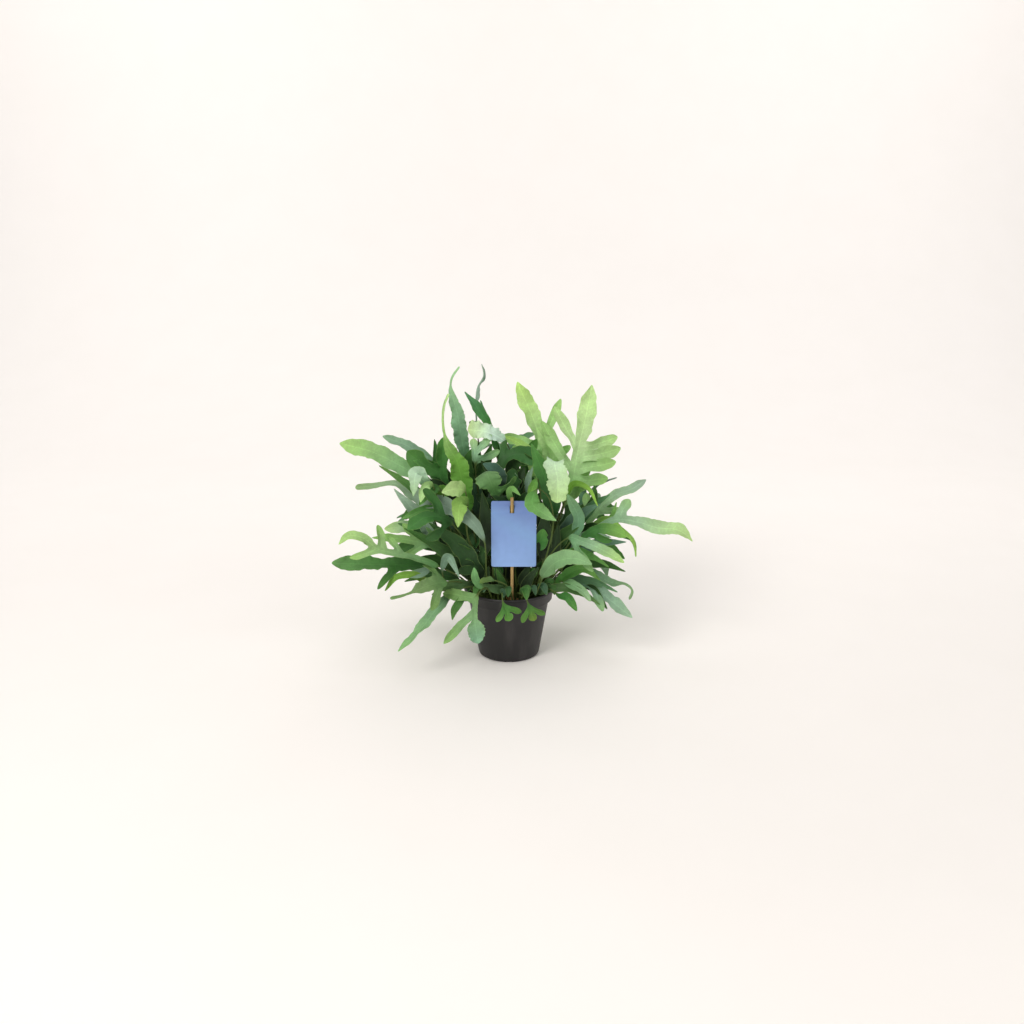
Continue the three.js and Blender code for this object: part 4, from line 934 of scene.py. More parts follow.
lay("low_left_olive", "fresh_green", (-46, -30), 23, "#5F8A50 #7C9A64 #82A868",
    [(-67, -52, 132), (-88, -74, 141), (-117, -98, 143), (-145, -114, 136), (-170, -128, 134)],
    [(0.3, "L", 38, 52, 13), (0.18, "R", 28, 72, 14)], face=(SKY, TILT), tail=0.66, strand=2.4)
lay("low_left_hanging", "blue_green", (-36, -42), 18, "#2C5826 #8CB888 #9ACC84",
    [(-55, -53, 127), (-82, -62, 119), (-108, -82, 99), (-130, -104, 76), (-161, -130, 53)],
    face=(SKY, (-0.6, -0.8, 0.4)), stalk=0.5)
print(len(FRONDS), "fronds laid out")

# %% Fronds over the rim, in front and at the right
lay("front_star", "blue_green", (-23, -50), 25, "#6F9A52 #82AC74 #8EBE9C",
    [(-34, -68, 132), (-45, -86, 126), (-50, -98, 96), (-45, -101, 54)],
    [(0.14, "R", 54, 96, 17), (0.36, "R", 56, 46, 13)],
    face=(SKY, FRONT), wing=4, step=7.5, pleat=0.7, crinkle=1.3, sub=6)
lay("front_small_left", "fresh_green", (-8, -54), 14, "#41742B #568E42 #689E46",
    [(-10, -72, 126), (-9, -81, 114), (2, -87, 84)],
    [(0.35, "R", 20, 60, 9), (0.35, "L", 24, 58, 9)], face=(SKY, FRONT), wing=3, step=7)
lay("front_small_right", "fresh_green", (19, -52), 13, "#3C6C32 #54843A #74903C",
    [(22, -71, 124), (28, -81, 112), (38, -87, 84)],
    [(0.35, "R", 20, 52, 9), (0.35, "L", 20, 52, 9)], face=(SKY, FRONT), wing=3, step=7)
lay("front_olive", "fresh_green", (6, -52), 16, "#567C48 #6C8A50 #7A9A50",
    [(0, -59, 128), (-20, -65, 140), (-44, -68, 138)], face=(SKY, SKY), step=8)
lay("front_young", "deep_green", (-14, -50), 12, "#5A8C50 #6FA464 #84BC78",
    [(-20, -54, 120), (-36, -59, 124), (-48, -62, 138), (-52, -62, 160)], step=6)
lay("low_right_small", "deep_green", (42, -36), 13, "",
    [(60, -56, 125), (76, -70, 117), (88, -79, 118), (101, -90, 100)], face=(SKY, FRONT), stalk=0.5)
lay("low_right_front", "fresh_green", (49, -26), 15, "#5F9458 #8EBC86 #AACC9E",
    [(70, -44, 132), (87, -58, 134), (106, -72, 128), (122, -84, 113)], face=(SKY, TILT), stalk=0.5)
lay("low_right_long", "blue_green", (54, -12), 20, "#5F8E6A #8FB298 #A8C8AA",
    [(78, -22, 130), (101, -34, 130), (132, -48, 120), (155, -58, 104), (186, -72, 83)],
    [(0.35, "R", 36, 44, 13)], face=(SKY, TILT), wing=8.5, drawn=1.3)
lay("low_right_tail", "blue_green", (55, 2), 16, "#5A8C60 #8CB68C #A4C890",
    [(80, 0, 132), (105, 4, 137), (137, 10, 123), (163, 16, 108), (184, 20, 105), (196, 22, 93),
     (191, 22, 77)], face=(SKY, TILT), tail=0.7, strand=2.2)
lay("right_grey", "mint", (36, -42), 25, "#5F8C50 #80AE70 #8CB87A",
    [(45, -58, 126), (54, -74, 156), (72, -92, 179), (95, -106, 187), (120, -118, 182)],
    face=(FRONT, TILT), stalk=0.5)
print(len(FRONDS), "fronds laid out")

# %% Shaded fronds inside the plant
# Their near-black tints are painted shade on top of their own deep green.
lay("inner_left", "deep_green", (-30, 10), 20, "#254A1A #315E22 #467A2F",
    [(-62, 18, 164), (-96, 30, 201), (-133, 46, 216), (-173, 62, 203)],
    [(0.2, "R", 44, 58, 18), (0.3, "L", 46, 60, 18), (0.46, "R", 38, 50, 16), (0.56, "L", 36, 50, 16)],
    face=(FRONT, TILT), wing=7, stalk=0)
lay("inner_left_low", "deep_green", (-46, 2), 19, "#254A1A #2E5820 #41742B",
    [(-72, 2, 142), (-105, 6, 164), (-144, 10, 172), (-179, 14, 160)],
    [(0.22, "R", 40, 60, 17), (0.34, "L", 38, 58, 16), (0.5, "R", 34, 50, 15)],
    face=(FRONT, TILT), wing=6, stalk=0)
lay("inner_front_left", "deep_green", (-12, -30), 20, "#214216 #2C541D #3C6C28",
    [(-34, -40, 140), (-56, -46, 172), (-84, -50, 184), (-108, -52, 176)],
    [(0.3, "R", 38, 60, 17), (0.2, "L", 30, 60, 15)], wing=6, stalk=0)
lay("inner_right", "deep_green", (30, 16), 20, "#214216 #315E22 #467A2F",
    [(58, 24, 164), (93, 38, 205), (130, 56, 223), (169, 70, 216)],
    [(0.2, "L", 44, 58, 18), (0.3, "R", 46, 60, 18), (0.46, "L", 38, 50, 16), (0.56, "R", 36, 50, 16)],
    face=(FRONT, TILT), wing=7, stalk=0)
lay("inner_right_low", "deep_green", (47, 8), 17, "#2C5621 #3C6E2B #528A35",
    [(74, 14, 138), (104, 14, 158), (134, 16, 168), (160, 18, 162), (183, 20, 146)],
    [(0.22, "L", 24, 60, 14), (0.34, "R", 34, 58, 15)], face=(FRONT, TILT), wing=6, stalk=0)
lay("inner_crown", "deep_green", (2, 20), 20, "#254A1A #356424 #4C8431",
    [(4, 32, 190), (14, 38, 250), (28, 40, 300), (44, 40, 335)],
    [(0.3, "L", 40, 58, 17), (0.4, "R", 28, 56, 15), (0.6, "L", 36, 50, 15)], wing=6, stalk=0)
print(len(FRONDS), "fronds laid out")

# %% Fronds of the far side
def far_lobes(right, left, angle, width, upper):
    """Two pairs of side lobes for a tall frond of the far side: a long pair and a shorter one."""
    return [(0.2, "R", right, angle, width), (0.24, "L", left, angle, width),
            (0.5, "R", upper, 50, 16), (0.54, "L", upper, 50, 16)]


lay("far_right", "blue_green", (36, 24), 20, "#3A6A44 #4F8058 #6A9C66",
    [(68, 52, 160), (108, 92, 206), (142, 122, 214), (182, 152, 186)],
    lobes=far_lobes(54, 54, 58, 18, 42), face=(SKY, (0.4, 0.2, 1)), wing=6)
lay("far_mid_right", "fresh_green", (20, 34), 20, "#47803A #669C4C #84B85E",
    [(40, 80, 190), (60, 130, 250), (74, 172, 250), (88, 214, 210)],
    lobes=far_lobes(58, 54, 60, 18, 44), face=((0, 0, 1), (0.2, 0.5, 1)), wing=6)
lay("far_middle", "blue_green", (0, 38), 22, "#44764E #5A8C64 #76A674",
    [(-2, 84, 210), (-6, 128, 290), (-10, 170, 300), (-14, 214, 262)],
    lobes=far_lobes(60, 60, 60, 19, 46), face=((0, 0, 1), (0, 0.6, 1)), wing=6)
lay("far_mid_left", "deep_green", (-20, 32), 20, "#315E22 #41742B #548C44",
    [(-44, 76, 180), (-70, 126, 236), (-90, 166, 238), (-112, 206, 204)],
    lobes=far_lobes(56, 56, 60, 18, 44), face=((0, 0, 1), (-0.2, 0.5, 1)), wing=6)
lay("far_left", "blue_green", (-38, 24), 20, "#3A6A44 #4F8058 #6A9C66",
    [(-70, 54, 156), (-108, 92, 196), (-142, 120, 202), (-182, 146, 178)],
    lobes=far_lobes(52, 52, 58, 18, 40), face=(SKY, (-0.4, 0.2, 1)), wing=6)
lay("far_low_right", "deep_green", (50, 24), 26, "",
    [(74, 44, 131), (110, 72, 138), (144, 98, 117), (166, 116, 83)], face=(SKY, (0.6, 0.2, 0.8)))
lay("far_low_back_right", "mint", (24, 47), 28, "",
    [(36, 76, 128), (56, 116, 140), (74, 152, 120), (88, 182, 82)], face=(FAR, (0.2, 0.8, 0.6)))
lay("far_low_back_left", "fresh_green", (-18, 49), 26, "",
    [(-28, 78, 128), (-46, 116, 140), (-62, 154, 120), (-76, 184, 82)], face=(FAR, (-0.2, 0.8, 0.6)))
lay("far_low_left", "blue_green", (-51, 22), 26, "",
    [(-76, 38, 128), (-112, 64, 134), (-144, 88, 112), (-168, 104, 80)], face=(SKY, (-0.6, 0.2, 0.8)))
print(len(FRONDS), "fronds laid out")

# %% Building a frond
HOLE_DEPTH = 9
ROOT_GAP = 0.35  # under a stalk, in its hole
BLADE_STEP, LOBED_STEP, LOBE_STEP = 11.5, 9, 11.5  # a plain blade's steps, a lobed one's, a lobe's
LOBE_SWEEP, LOBE_DROOP = 0.12, 0.12  # bend towards the frond's tip and down, as shares of a lobe
LOBE_WAVE_LENGTH = 38
TIP_YELLOW = linear("#A8D860")[:3]


def frond_phase(number):
    """Where the waves of a frond start: its number seeds one step of a small generator."""
    state = math.fmod(((number + 11) * 7919 + 13) * 1103515245.0 + 12345, 2147483648.0)
    return state / 2147483648 * 6


def blade_half(spec, share, ending):
    """Half width of the blade at shares of its length: a narrow wing, then the end lobe."""
    peak, power, wing = spec["peak"], 3 - spec["drawn"], spec["wing"]
    half = spec["width"] / 2
    if spec["tail"]:
        shape = leaf_shape(share / spec["tail"], peak, power)
        return np.maximum(spec["strand"], np.where(share < spec["tail"], half * shape, 0))
    if not ending:
        return np.maximum(1.2, half * leaf_shape(share, peak, power))
    own = np.clip((share - ending) / (1 - ending), 0, 1)
    shape = leaf_shape(own, peak, power)
    lobe = np.where(own < peak, wing + (half - wing) * shape, half * shape)
    return np.where(share <= ending, wing, np.maximum(1.2, lobe))


def make_blade(spec, phase, bottom):
    """The strip of a stalk and its blade, with what its lobes need to grow from it."""
    x, y = spec["root"]
    foot = [(x, y, bottom + rise) for rise in (0, HOLE_DEPTH, HOLE_DEPTH + 5)]
    line = smooth_line([*foot, *spec["path"]])
    _, knots, runs = line
    start = runs[np.argmax(knots >= 3 + spec["stalk"])]
    length = runs[-1] - start
    lobes, sub = spec["lobes"], spec["sub"]
    count = max(5, nearest(length / spec.get("step", LOBED_STEP if lobes else BLADE_STEP)))
    ending = spec["neck"]
    if lobes:
        ending = (max(max(1, nearest(lobe[0] * count)) for lobe in lobes) + 1) / count

    stalk_rows = max(6, round(start / STALK_STEP))
    run = np.concatenate([np.linspace(0, start, stalk_rows + 1)[:-1],
                          start + length * np.arange(count * sub + 1) / (count * sub)])
    share = (run - start) / length
    faces = unit(np.array(spec["face"], float))
    face = faces[0] + (faces[1] - faces[0]) * np.clip(share, 0, 1)[:, None]
    opened = ease(share * count * 0.9)
    thin = STALK_WIDE + (STALK_THIN - STALK_WIDE) * np.clip(run / start, 0, 1)
    half = thin + (np.maximum(thin, blade_half(spec, share, ending)) - thin) * opened
    half[-1] = 0
    rib = BLADE_RIB * (1 - 0.45 * np.clip(share, 0, 1)) * np.where(share > 0.995, 0.4, 1)
    place, thick, out, normal, across = cross_section(
        points_at(line, run), directions_at(line, run), face, half, spec["wave"],
        phase + share * length / WAVE_LENGTH * math.tau, 1 - opened, 0.06, rib, COLUMNS, run,
        spec["crinkle"], spec["pleat"])
    margin = np.abs(np.linspace(-1, 1, COLUMNS + 1))[None, :] * opened[:, None]
    colour = tint_rows(spec["tints"] or TINTS[spec["tone"]], share)
    strip = dict(place=place, thick=thick, out=out, run=run, margin=margin,
                 tint=paint(colour, opened, COLUMNS + 1))
    first = len(run) - 1 - count * sub
    return strip, dict(count=count, first=first, sub=sub, normal=normal, across=across,
                       along=directions_at(line, run), colour=colour)


def make_lobe(strip, blade, lobe, phase):
    """The strip of one side lobe. Its first row is a stretch of the blade's own margin."""
    at, side, length, angle, width = lobe
    sub = blade["sub"]
    station = max(1, nearest(at * blade["count"]))
    middle = blade["first"] + station * sub
    stretch = np.arange(middle - sub, middle + sub + 1)
    column, way = (COLUMNS, 1) if side == "R" else (0, -1)
    if side == "R":
        stretch = stretch[::-1]
    foot = strip["place"][stretch, column]
    along, normal, across = (blade[key][middle] for key in ("along", "normal", "across"))
    start = strip["place"][middle, column]
    turn = math.radians(angle)
    out = along * math.cos(turn) + across * way * math.sin(turn)
    bend = along * LOBE_SWEEP * length - normal * LOBE_DROOP * length

    def spot_at(s):
        return start + np.multiply.outer(s, out * length) + np.multiply.outer(s * s, bend)

    count = max(3, nearest(length / LOBE_STEP))
    s = np.arange(count * sub + 1) / (count * sub)
    direction = unit(spot_at(np.minimum(1, s + 0.05)) - spot_at(s - 0.05))
    shape = leaf_shape(s, 0.55, 3)
    half = width / 2 * np.where(s < 0.55, np.maximum(0.8, shape), shape)
    half[-1] = 0
    columns = 2 * sub
    place, thick, out_mm, _, _ = cross_section(
        spot_at(s), direction, np.broadcast_to(normal, (len(s), 3)), half, 0.2,
        phase + station + s * length / LOBE_WAVE_LENGTH * math.tau, 0, 0.07,
        BLADE_RIB * (1 - 0.5 * s), columns, s * length + 5)
    fillet = np.clip(1 - s * count / 1.2, 0, 1) ** 1.5
    place = place + fillet[:, None, None] * (foot - place[0])[None]
    place[0] = foot
    thick[0] = strip["thick"][stretch, column]
    margin = np.abs(np.linspace(-1, 1, columns + 1))[None, :] * ease(s * count / 1.2)[:, None]
    turned = 0.35 * ease(s)[:, None] * min(1, blade["colour"][middle][1] / 0.4) ** 2
    colour = blade["colour"][middle] * (1 - turned) + np.array(TIP_YELLOW) * turned
    tint = paint(colour, 1.0, columns + 1)
    tint[0] = strip["tint"][stretch, column]
    # The blade has no pale margin where the lobe leaves it.
    strip["margin"][middle - sub + 1:middle + sub, column] *= 0.2
    return dict(place=place, thick=thick, out=out_mm, run=s * length, margin=margin, tint=tint)


def make_frond(name, spec, number, on_rhizome=False):
    """A whole frond as one closed skin: its strips joined, rounded, and given their thickness."""
    spec = {**USUAL, **spec}
    phase = frond_phase(number)
    bottom = soil_height(math.hypot(*spec["root"])) + (0 if on_rhizome else ROOT_GAP - HOLE_DEPTH)
    strip, blade = make_blade(spec, phase, bottom)
    strips = [strip, *(make_lobe(strip, blade, lobe, phase) for lobe in spec["lobes"])]
    parts = [lay_strip(f"fern_{name}", **one) for one in strips]
    select_only(*parts)
    if len(parts) > 1:
        bpy.ops.object.join()
    frond = bpy.context.object
    bpy.ops.object.mode_set(mode="EDIT")
    bpy.ops.mesh.select_all(action="SELECT")
    bpy.ops.mesh.remove_doubles(threshold=0.00003)
    bpy.ops.object.mode_set(mode="OBJECT")
    rounded = frond.modifiers.new("rounded", "SUBSURF")
    rounded.levels = rounded.render_levels = 1
    sheet = frond.modifiers.new("sheet", "SOLIDIFY")
    sheet.thickness = 2 * STALK_WIDE * MM
    sheet.offset = 0
    sheet.vertex_group = "thickness"
    sheet.material_offset = 1
    for side in leaf_materials[spec["tone"]]:
        frond.data.materials.append(side)
    apply_modifiers(frond)
    shade_by_angle(60)
    return frond


def grow(name, spec, number, *nodes):
    """Makes a frond, gives it its place in the plant, and counts its faces."""
    frond = settle(make_frond(name, spec, number), "frond_" + spec["tone"], *nodes)
    return len(frond.data.polygons)


# %% [markdown]
# ## Blade of the fern
#
# A blade is thin living tissue. Light that falls on it is partly scattered back, which is its
# green, and partly let through, which is a yellower green. Its upper side has a satin wax, the
# blue-grey bloom that the plant is named for, and its underside is paler and matte. The midrib
# is pale, side veins leave it at a steep slant, and between them lies a net of fine veins.
#
# The pattern could be painted, but a net that follows the blade's own measures is sharper at
# any distance. UV holds millimetres from the rib and from the foot, so every vein has its real
# spacing: 5.5 mm between side veins, and 2.2 mm between the veins of the net.

# %% Leaf material
VEIN_STEP = 5.5
NET_STEP = 2.2


def leaf_material(name, bloom, under):
    """The upper side of a blade (under 0) or its underside (under 1), for one tone of frond."""
    material, tree = new_material(name)
    uv = add(tree, "UVMap", uv_map="blade")
    mm = add(tree, "SeparateXYZ", {0: uv})
    tint = add(tree, "Attribute", attribute_name="tint")
    margin = add(tree, "Attribute", attribute_name="margin")
    place = add(tree, "TexCoord")

    # Distance from the rib, bent a little so that no vein is a straight line.
    wobble = add(tree, "TexNoise", {"Vector": uv, "Scale": 0.16, "Detail": 2.0})
    drift = add(tree, "Math", {0: wobble, 1: 7.0}, operation="MULTIPLY")
    away = add(tree, "Math", {0: mm.outputs["X"]}, operation="ABSOLUTE")
    slant = add(tree, "Math", {0: away, 1: 0.62}, operation="MULTIPLY")
    course = add(tree, "Math", {0: mm.outputs["Y"], 1: slant}, operation="SUBTRACT")
    bent = add(tree, "Math", {0: course, 1: drift}, operation="ADD")
    repeat = add(tree, "Math", {0: bent, 1: VEIN_STEP}, operation="PINGPONG")
    vein = add(tree, "MapRange", {"Value": repeat, "From Max": 0.75, "To Min": 1.0, "To Max": 0.0},
               interpolation_type="SMOOTHSTEP")

    # The midrib: a pale line about 1.2 mm wide.
    rib = add(tree, "MapRange", {"Value": away, "From Min": 0.25, "To Min": 1.0, "To Max": 0.0},
              interpolation_type="SMOOTHSTEP")

    # The net between the side veins.
    flat = add(tree, "CombineXYZ", {"X": mm.outputs["X"], "Y": mm.outputs["Y"]})
    net = add(tree, "TexVoronoi", {"Vector": flat, "Scale": 1 / NET_STEP}, feature="DISTANCE_TO_EDGE",
              voronoi_dimensions="2D")
    mesh = add(tree, "MapRange", {"Value": net, "From Min": 0.02, "From Max": 0.16, "To Min": 1.0,
                                  "To Max": 0.0})

    # Mottling: broad patches of 20 mm and small ones of 3 mm.
    broad = add(tree, "TexNoise", {"Vector": place.outputs["Object"], "Scale": 45.0, "Detail": 3.0})
    small = add(tree, "TexNoise", {"Vector": place.outputs["Object"], "Scale": 330.0, "Detail": 3.0})
    patch = add(tree, "MapRange", {"Value": broad, "From Min": 0.3, "From Max": 0.7, "To Min": 0.87,
                                   "To Max": 1.13})
    speck = add(tree, "MapRange", {"Value": small, "From Min": 0.3, "From Max": 0.7, "To Min": 0.93,
                                   "To Max": 1.07})
    both = add(tree, "Math", {0: patch, 1: speck}, operation="MULTIPLY")
    body = add(tree, "Mix", {0: 1.0, 6: tint.outputs["Color"], 7: both}, data_type="RGBA",
               blend_type="MULTIPLY")

    # The underside is the same tissue under a paler bloom.
    pale = add(tree, "Mix", {0: 0.42 * under + bloom, 6: body.outputs[2], 7: linear("#C2DCCA")},
               data_type="RGBA")
    lines = add(tree, "Math", {0: vein, 1: 0.07 + 0.1 * under, 2: 1.0}, operation="MULTIPLY_ADD")
    netted = add(tree, "Math", {0: mesh, 1: 0.04 + 0.06 * under, 2: lines},
                 operation="MULTIPLY_ADD")
    ribbed = add(tree, "Math", {0: rib, 1: 0.14, 2: netted}, operation="MULTIPLY_ADD")
    veined = add(tree, "Mix", {0: 1.0, 6: pale.outputs[2], 7: ribbed}, data_type="RGBA",
                 blend_type="MULTIPLY")

    # A thin pale margin, and a stalk of a dark brownish green, partly painted shade of the clump that the
    # stalks stand in.
    edge = add(tree, "MapRange", {"Value": margin.outputs["Fac"], "From Min": 0.9, "To Max": 0.2},
               interpolation_type="SMOOTHSTEP")
    rimmed = add(tree, "Mix", {0: edge, 6: veined.outputs[2], 7: linear("#B9D97E")}, data_type="RGBA")
    stalk = add(tree, "Mix", {0: tint.outputs["Alpha"], 6: linear("#4C5E2A"), 7: rimmed.outputs[2]},
                data_type="RGBA")

    relief = add(tree, "Math", {0: vein, 1: 0.6, 2: mesh}, operation="MULTIPLY_ADD")
    ridge = add(tree, "Math", {0: rib, 1: 1.5, 2: relief}, operation="MULTIPLY_ADD")
    bump = add(tree, "Bump", {"Height": ridge, "Strength": 0.35, "Distance": 0.0004},
               invert=under == 0)
    gloss = add(tree, "MapRange", {"Value": broad, "To Min": 0.42 + 0.18 * under,
                                   "To Max": 0.6 + 0.18 * under})
    skin = add(tree, "BsdfPrincipled", {
        "Base Color": stalk.outputs[2], "Roughness": gloss, "IOR": 1.42,
        "Specular IOR Level": 0.28 if under else 0.34, "Normal": bump,
    })
    warm = add(tree, "Mix", {0: 1.0, 6: stalk.outputs[2], 7: linear("#E8F5B0")}, data_type="RGBA",
               blend_type="MULTIPLY")
    through = add(tree, "BsdfTranslucent", {"Color": warm.outputs[2], "Normal": bump})
    thin = add(tree, "Math", {0: tint.outputs["Alpha"], 1: 0.25 + 0.13 * under}, operation="MULTIPLY")
    tissue = add(tree, "MixShader", {0: thin, 1: skin, 2: through})
    finish_with(tree, tissue)
    return material


leaf_materials = {}
for tone, bloom in (("mint", 0.12), ("blue_green", 0.05), ("deep_green", 0.02), ("fresh_green", 0.0)):
    blade = "fern blade, " + tone.replace("_", " ")
    leaf_materials[tone] = (leaf_material(blade + ", upper side", bloom, 0),
                            leaf_material(blade + ", underside", bloom, 1))
print(len(leaf_materials), "tones of leaf, two sides each")

# %% Growing the fronds
faces = sum(grow(name, spec, number, "frond_" + name)
            for number, (name, spec) in enumerate(FRONDS.items()))
print(len(FRONDS), "fronds:", faces, "faces")

# %% [markdown]
# ## Smaller fronds
#
# Between the large fronds stand many smaller ones. They are too many for sixty solids, and they
# lie close to the large ones, so they exist only here. Each fills a place that can be seen from
# the front: turned-over pale tips at the left, dark straps beside the card, low young leaves
# round the foot of the stick, and thin strands at the right.

# %% Tints of the smaller fronds
# The next two sets are near-black and dark greens for leaves where the plant lies in deep shade: painted
# shade on top of their own green.
BLACK_GREEN_PAINTED_SHADE = "#15230C #1C3011 #264319"
SHADE = "#203814 #2C521B #417429"
MIDDLE = "#3A6A2C #4F8A3C #6FA850"
GREY = "#5F8068 #7D9E85 #93B39A"
SMALLER = {}  # name: (tone, root, width, tints, path)
print("four sets of tints that several share")

# %% Smaller fronds at the left
SMALLER.update({
    "flap_mint": ("mint", (-30, -12), 22, "#A0C8A4 #C8E6CC #B4DA9C", [
        (-106, -35, 210), (-118, -58, 280), (-132, -70, 306), (-137, -80, 272)]),
    "hook_bright": ("fresh_green", (-30, -18), 13, "#86B464 #B4DA94 #BEE29C", [
        (-95, -40, 211), (-109, -60, 282), (-118, -70, 286), (-128, -76, 262)]),
    "left_curl": ("deep_green", (-26, -12), 19, MIDDLE, [
        (-88, -35, 210), (-98, -52, 275), (-115, -58, 277), (-131, -62, 254)]),
    "flap_yellow": ("fresh_green", (-20, -16), 25, "#86AE5C #AFCF88 #C0DE98", [
        (-61, -45, 197), (-62, -64, 275), (-76, -72, 282), (-97, -80, 278)]),
    "flap_low": ("fresh_green", (-18, -20), 22, "#5A8638 #8CB65A #B4DA80", [
        (-64, -45, 213), (-59, -60, 255), (-69, -72, 261), (-74, -78, 225)]),
    "left_middle": ("deep_green", (-30, -20), 15, "#3A6A2C #4F8A3C #74B058", [
        (-89, -30, 161), (-98, -50, 242), (-127, -56, 245), (-158, -58, 233)]),
    "left_under": ("mint", (-34, -16), 22, "#5F8068 #8FAE93 #A3BFA8", [
        (-96, -25, 159), (-118, -40, 211), (-143, -48, 247), (-169, -54, 279)]),
    "left_shelf": ("deep_green", (-36, -6), 14, "#3A6A2C #4C7E3E #6F9C4A", [
        (-105, -20, 190), (-125, -35, 256), (-155, -45, 287), (-190, -52, 313)]),
    "left_band": ("deep_green", (-22, -28), 19, SHADE, [
        (-51, -40, 116), (-70, -48, 154), (-105, -54, 190), (-156, -56, 219)]),
    # The broad band's near-black foot is painted shade under the left fronds.
    "left_broad_band": ("deep_green", (-14, -26), 28, "#182811 #274A1E #376428", [
        (-29, -36, 115), (-46, -44, 146), (-78, -52, 193), (-119, -56, 228)]),
    "left_arch": ("blue_green", (-34, -28), 12, GREY, [
        (-89, -50, 120), (-99, -62, 152), (-89, -70, 180), (-72, -78, 148)]),
    "left_low_grey": ("mint", (-38, -20), 14, GREY, [
        (-104, -45, 118), (-114, -58, 154), (-135, -64, 150), (-158, -68, 147)]),
    "left_dangling": ("fresh_green", (-40, -16), 9, "#6E8A3C #7FAE48 #7FB24A", [
        (-104, -45, 118), (-139, -66, 149), (-165, -72, 148), (-184, -78, 127)]),
    "left_low_dark": ("deep_green", (-34, -30), 11, SHADE, [
        (-86, -48, 103), (-103, -62, 138), (-120, -68, 139), (-140, -72, 137)]),
})
print(len(SMALLER), "smaller fronds laid out")

# %% Smaller fronds in front and beside the card
SMALLER.update({
    "front_down": ("fresh_green", (-26, -36), 13, "#3F7030 #5C9048 #689C50", [
        (-58, -60, 118), (-71, -78, 114), (-79, -84, 104), (-84, -86, 84)]),
    "front_low_a": ("deep_green", (-10, -34), 14, "#2F4A22 #45683A #5C8048", [
        (-13, -40, 105), (-9, -52, 120), (-25, -58, 126), (-44, -62, 135)]),
    "front_low_b": ("deep_green", (-4, -32), 13, SHADE, [
        (-5, -38, 102), (-6, -44, 114), (-12, -50, 136), (-19, -54, 156)]),
    "front_low_c": ("deep_green", (-24, -30), 12, BLACK_GREEN_PAINTED_SHADE, [
        (-30, -36, 104), (-31, -44, 118), (-33, -50, 139), (-30, -52, 160)]),
    "front_low_d": ("deep_green", (16, -30), 15, BLACK_GREEN_PAINTED_SHADE, [
        (20, -36, 104), (23, -44, 118), (32, -50, 139), (47, -52, 158)]),
    "front_low_e": ("deep_green", (26, -32), 13, SHADE, [
        (32, -40, 106), (44, -48, 116), (65, -56, 125), (86, -60, 123)]),
    "round_dark": ("blue_green", (-12, -8), 27, "#22382A #355545 #48705E", [
        (-16, -20, 190), (-13, -30, 270), (-22, -34, 301), (-39, -36, 312)]),
    "card_lobe": ("fresh_green", (4, -22), 11, "#5F9448 #7DB060 #86BC68", [
        (5, -26, 190), (1, -32, 252), (5, -48, 276), (18, -58, 268)]),
    "grey_left_pinna": ("blue_green", (6, -4), 14, GREY, [
        (8, -10, 218), (8, -14, 259), (11, -16, 282), (6, -18, 298)]),
    "grey_right_pinna": ("blue_green", (18, -4), 13, GREY, [
        (32, -8, 218), (32, -12, 258), (30, -16, 285), (38, -18, 306)]),
    "over_card_top": ("fresh_green", (22, -18), 13, "#5F9C44 #7FB554 #93C25E", [
        (47, -30, 224), (43, -46, 292), (34, -54, 276), (33, -58, 250)]),
})
print(len(SMALLER), "smaller fronds laid out")

# %% Smaller fronds at the right
SMALLER.update({
    "right_mid": ("deep_green", (30, -18), 13, MIDDLE, [
        (72, -30, 129), (95, -44, 178), (124, -52, 174), (151, -56, 157)]),
    "right_dark_strap": ("deep_green", (34, -6), 14, SHADE, [
        (79, -10, 154), (120, -16, 207), (153, -22, 204), (185, -26, 191)]),
    "right_grey_low": ("mint", (34, -12), 13, GREY, [
        (78, -20, 150), (113, -30, 199), (134, -36, 202), (155, -40, 199)]),
    "right_strand": ("fresh_green", (36, 2), 8, "#5F8F48 #8FBF5A #B4DC78", [
        (79, 0, 151), (149, 0, 217), (172, -4, 201), (191, -8, 184), (196, -10, 158)]),
    "right_up_small": ("fresh_green", (34, 8), 10, "#5F9C58 #7DB060 #8FC46A", [
        (95, 10, 164), (151, 6, 209), (160, 4, 224), (165, 2, 245)]),
    "right_thin_tip": ("blue_green", (30, 18), 5, "#4F6A55 #5F7A68 #7A8F86", [
        (104, 30, 207), (135, 30, 262), (151, 30, 270), (169, 30, 276)]),
    "right_yellow": ("fresh_green", (30, -12), 9, "#5F942F #7FB444 #A9D860", [
        (77, -20, 221), (96, -40, 282), (117, -46, 276), (132, -50, 249)]),
    "right_dark_small": ("deep_green", (36, -4), 14, SHADE, [
        (101, -10, 203), (123, -18, 242), (129, -22, 261), (127, -24, 278)]),
    "low_right_dark": ("deep_green", (38, -16), 11, SHADE, [
        (101, -30, 113), (126, -50, 123), (137, -58, 110), (149, -62, 92)]),
    "right_green": ("fresh_green", (28, -24), 16, "#3F7A30 #5F9C48 #7FB45A", [
        (55, -40, 116), (86, -52, 144), (112, -58, 157), (138, -62, 138)]),
    "right_thick": ("blue_green", (30, -14), 21, "#2F4A38 #4A6F58 #5F8A6C", [
        (71, -20, 158), (86, -28, 208), (110, -32, 235), (139, -34, 251)]),
    "right_inner": ("deep_green", (24, -18), 20, SHADE, [
        (55, -25, 143), (77, -34, 194), (95, -38, 214), (115, -40, 223)]),
    "right_inner_low": ("deep_green", (24, -24), 19, BLACK_GREEN_PAINTED_SHADE, [
        (48, -32, 130), (65, -38, 163), (71, -40, 195), (74, -40, 223)]),
})
print(len(SMALLER), "smaller fronds laid out")
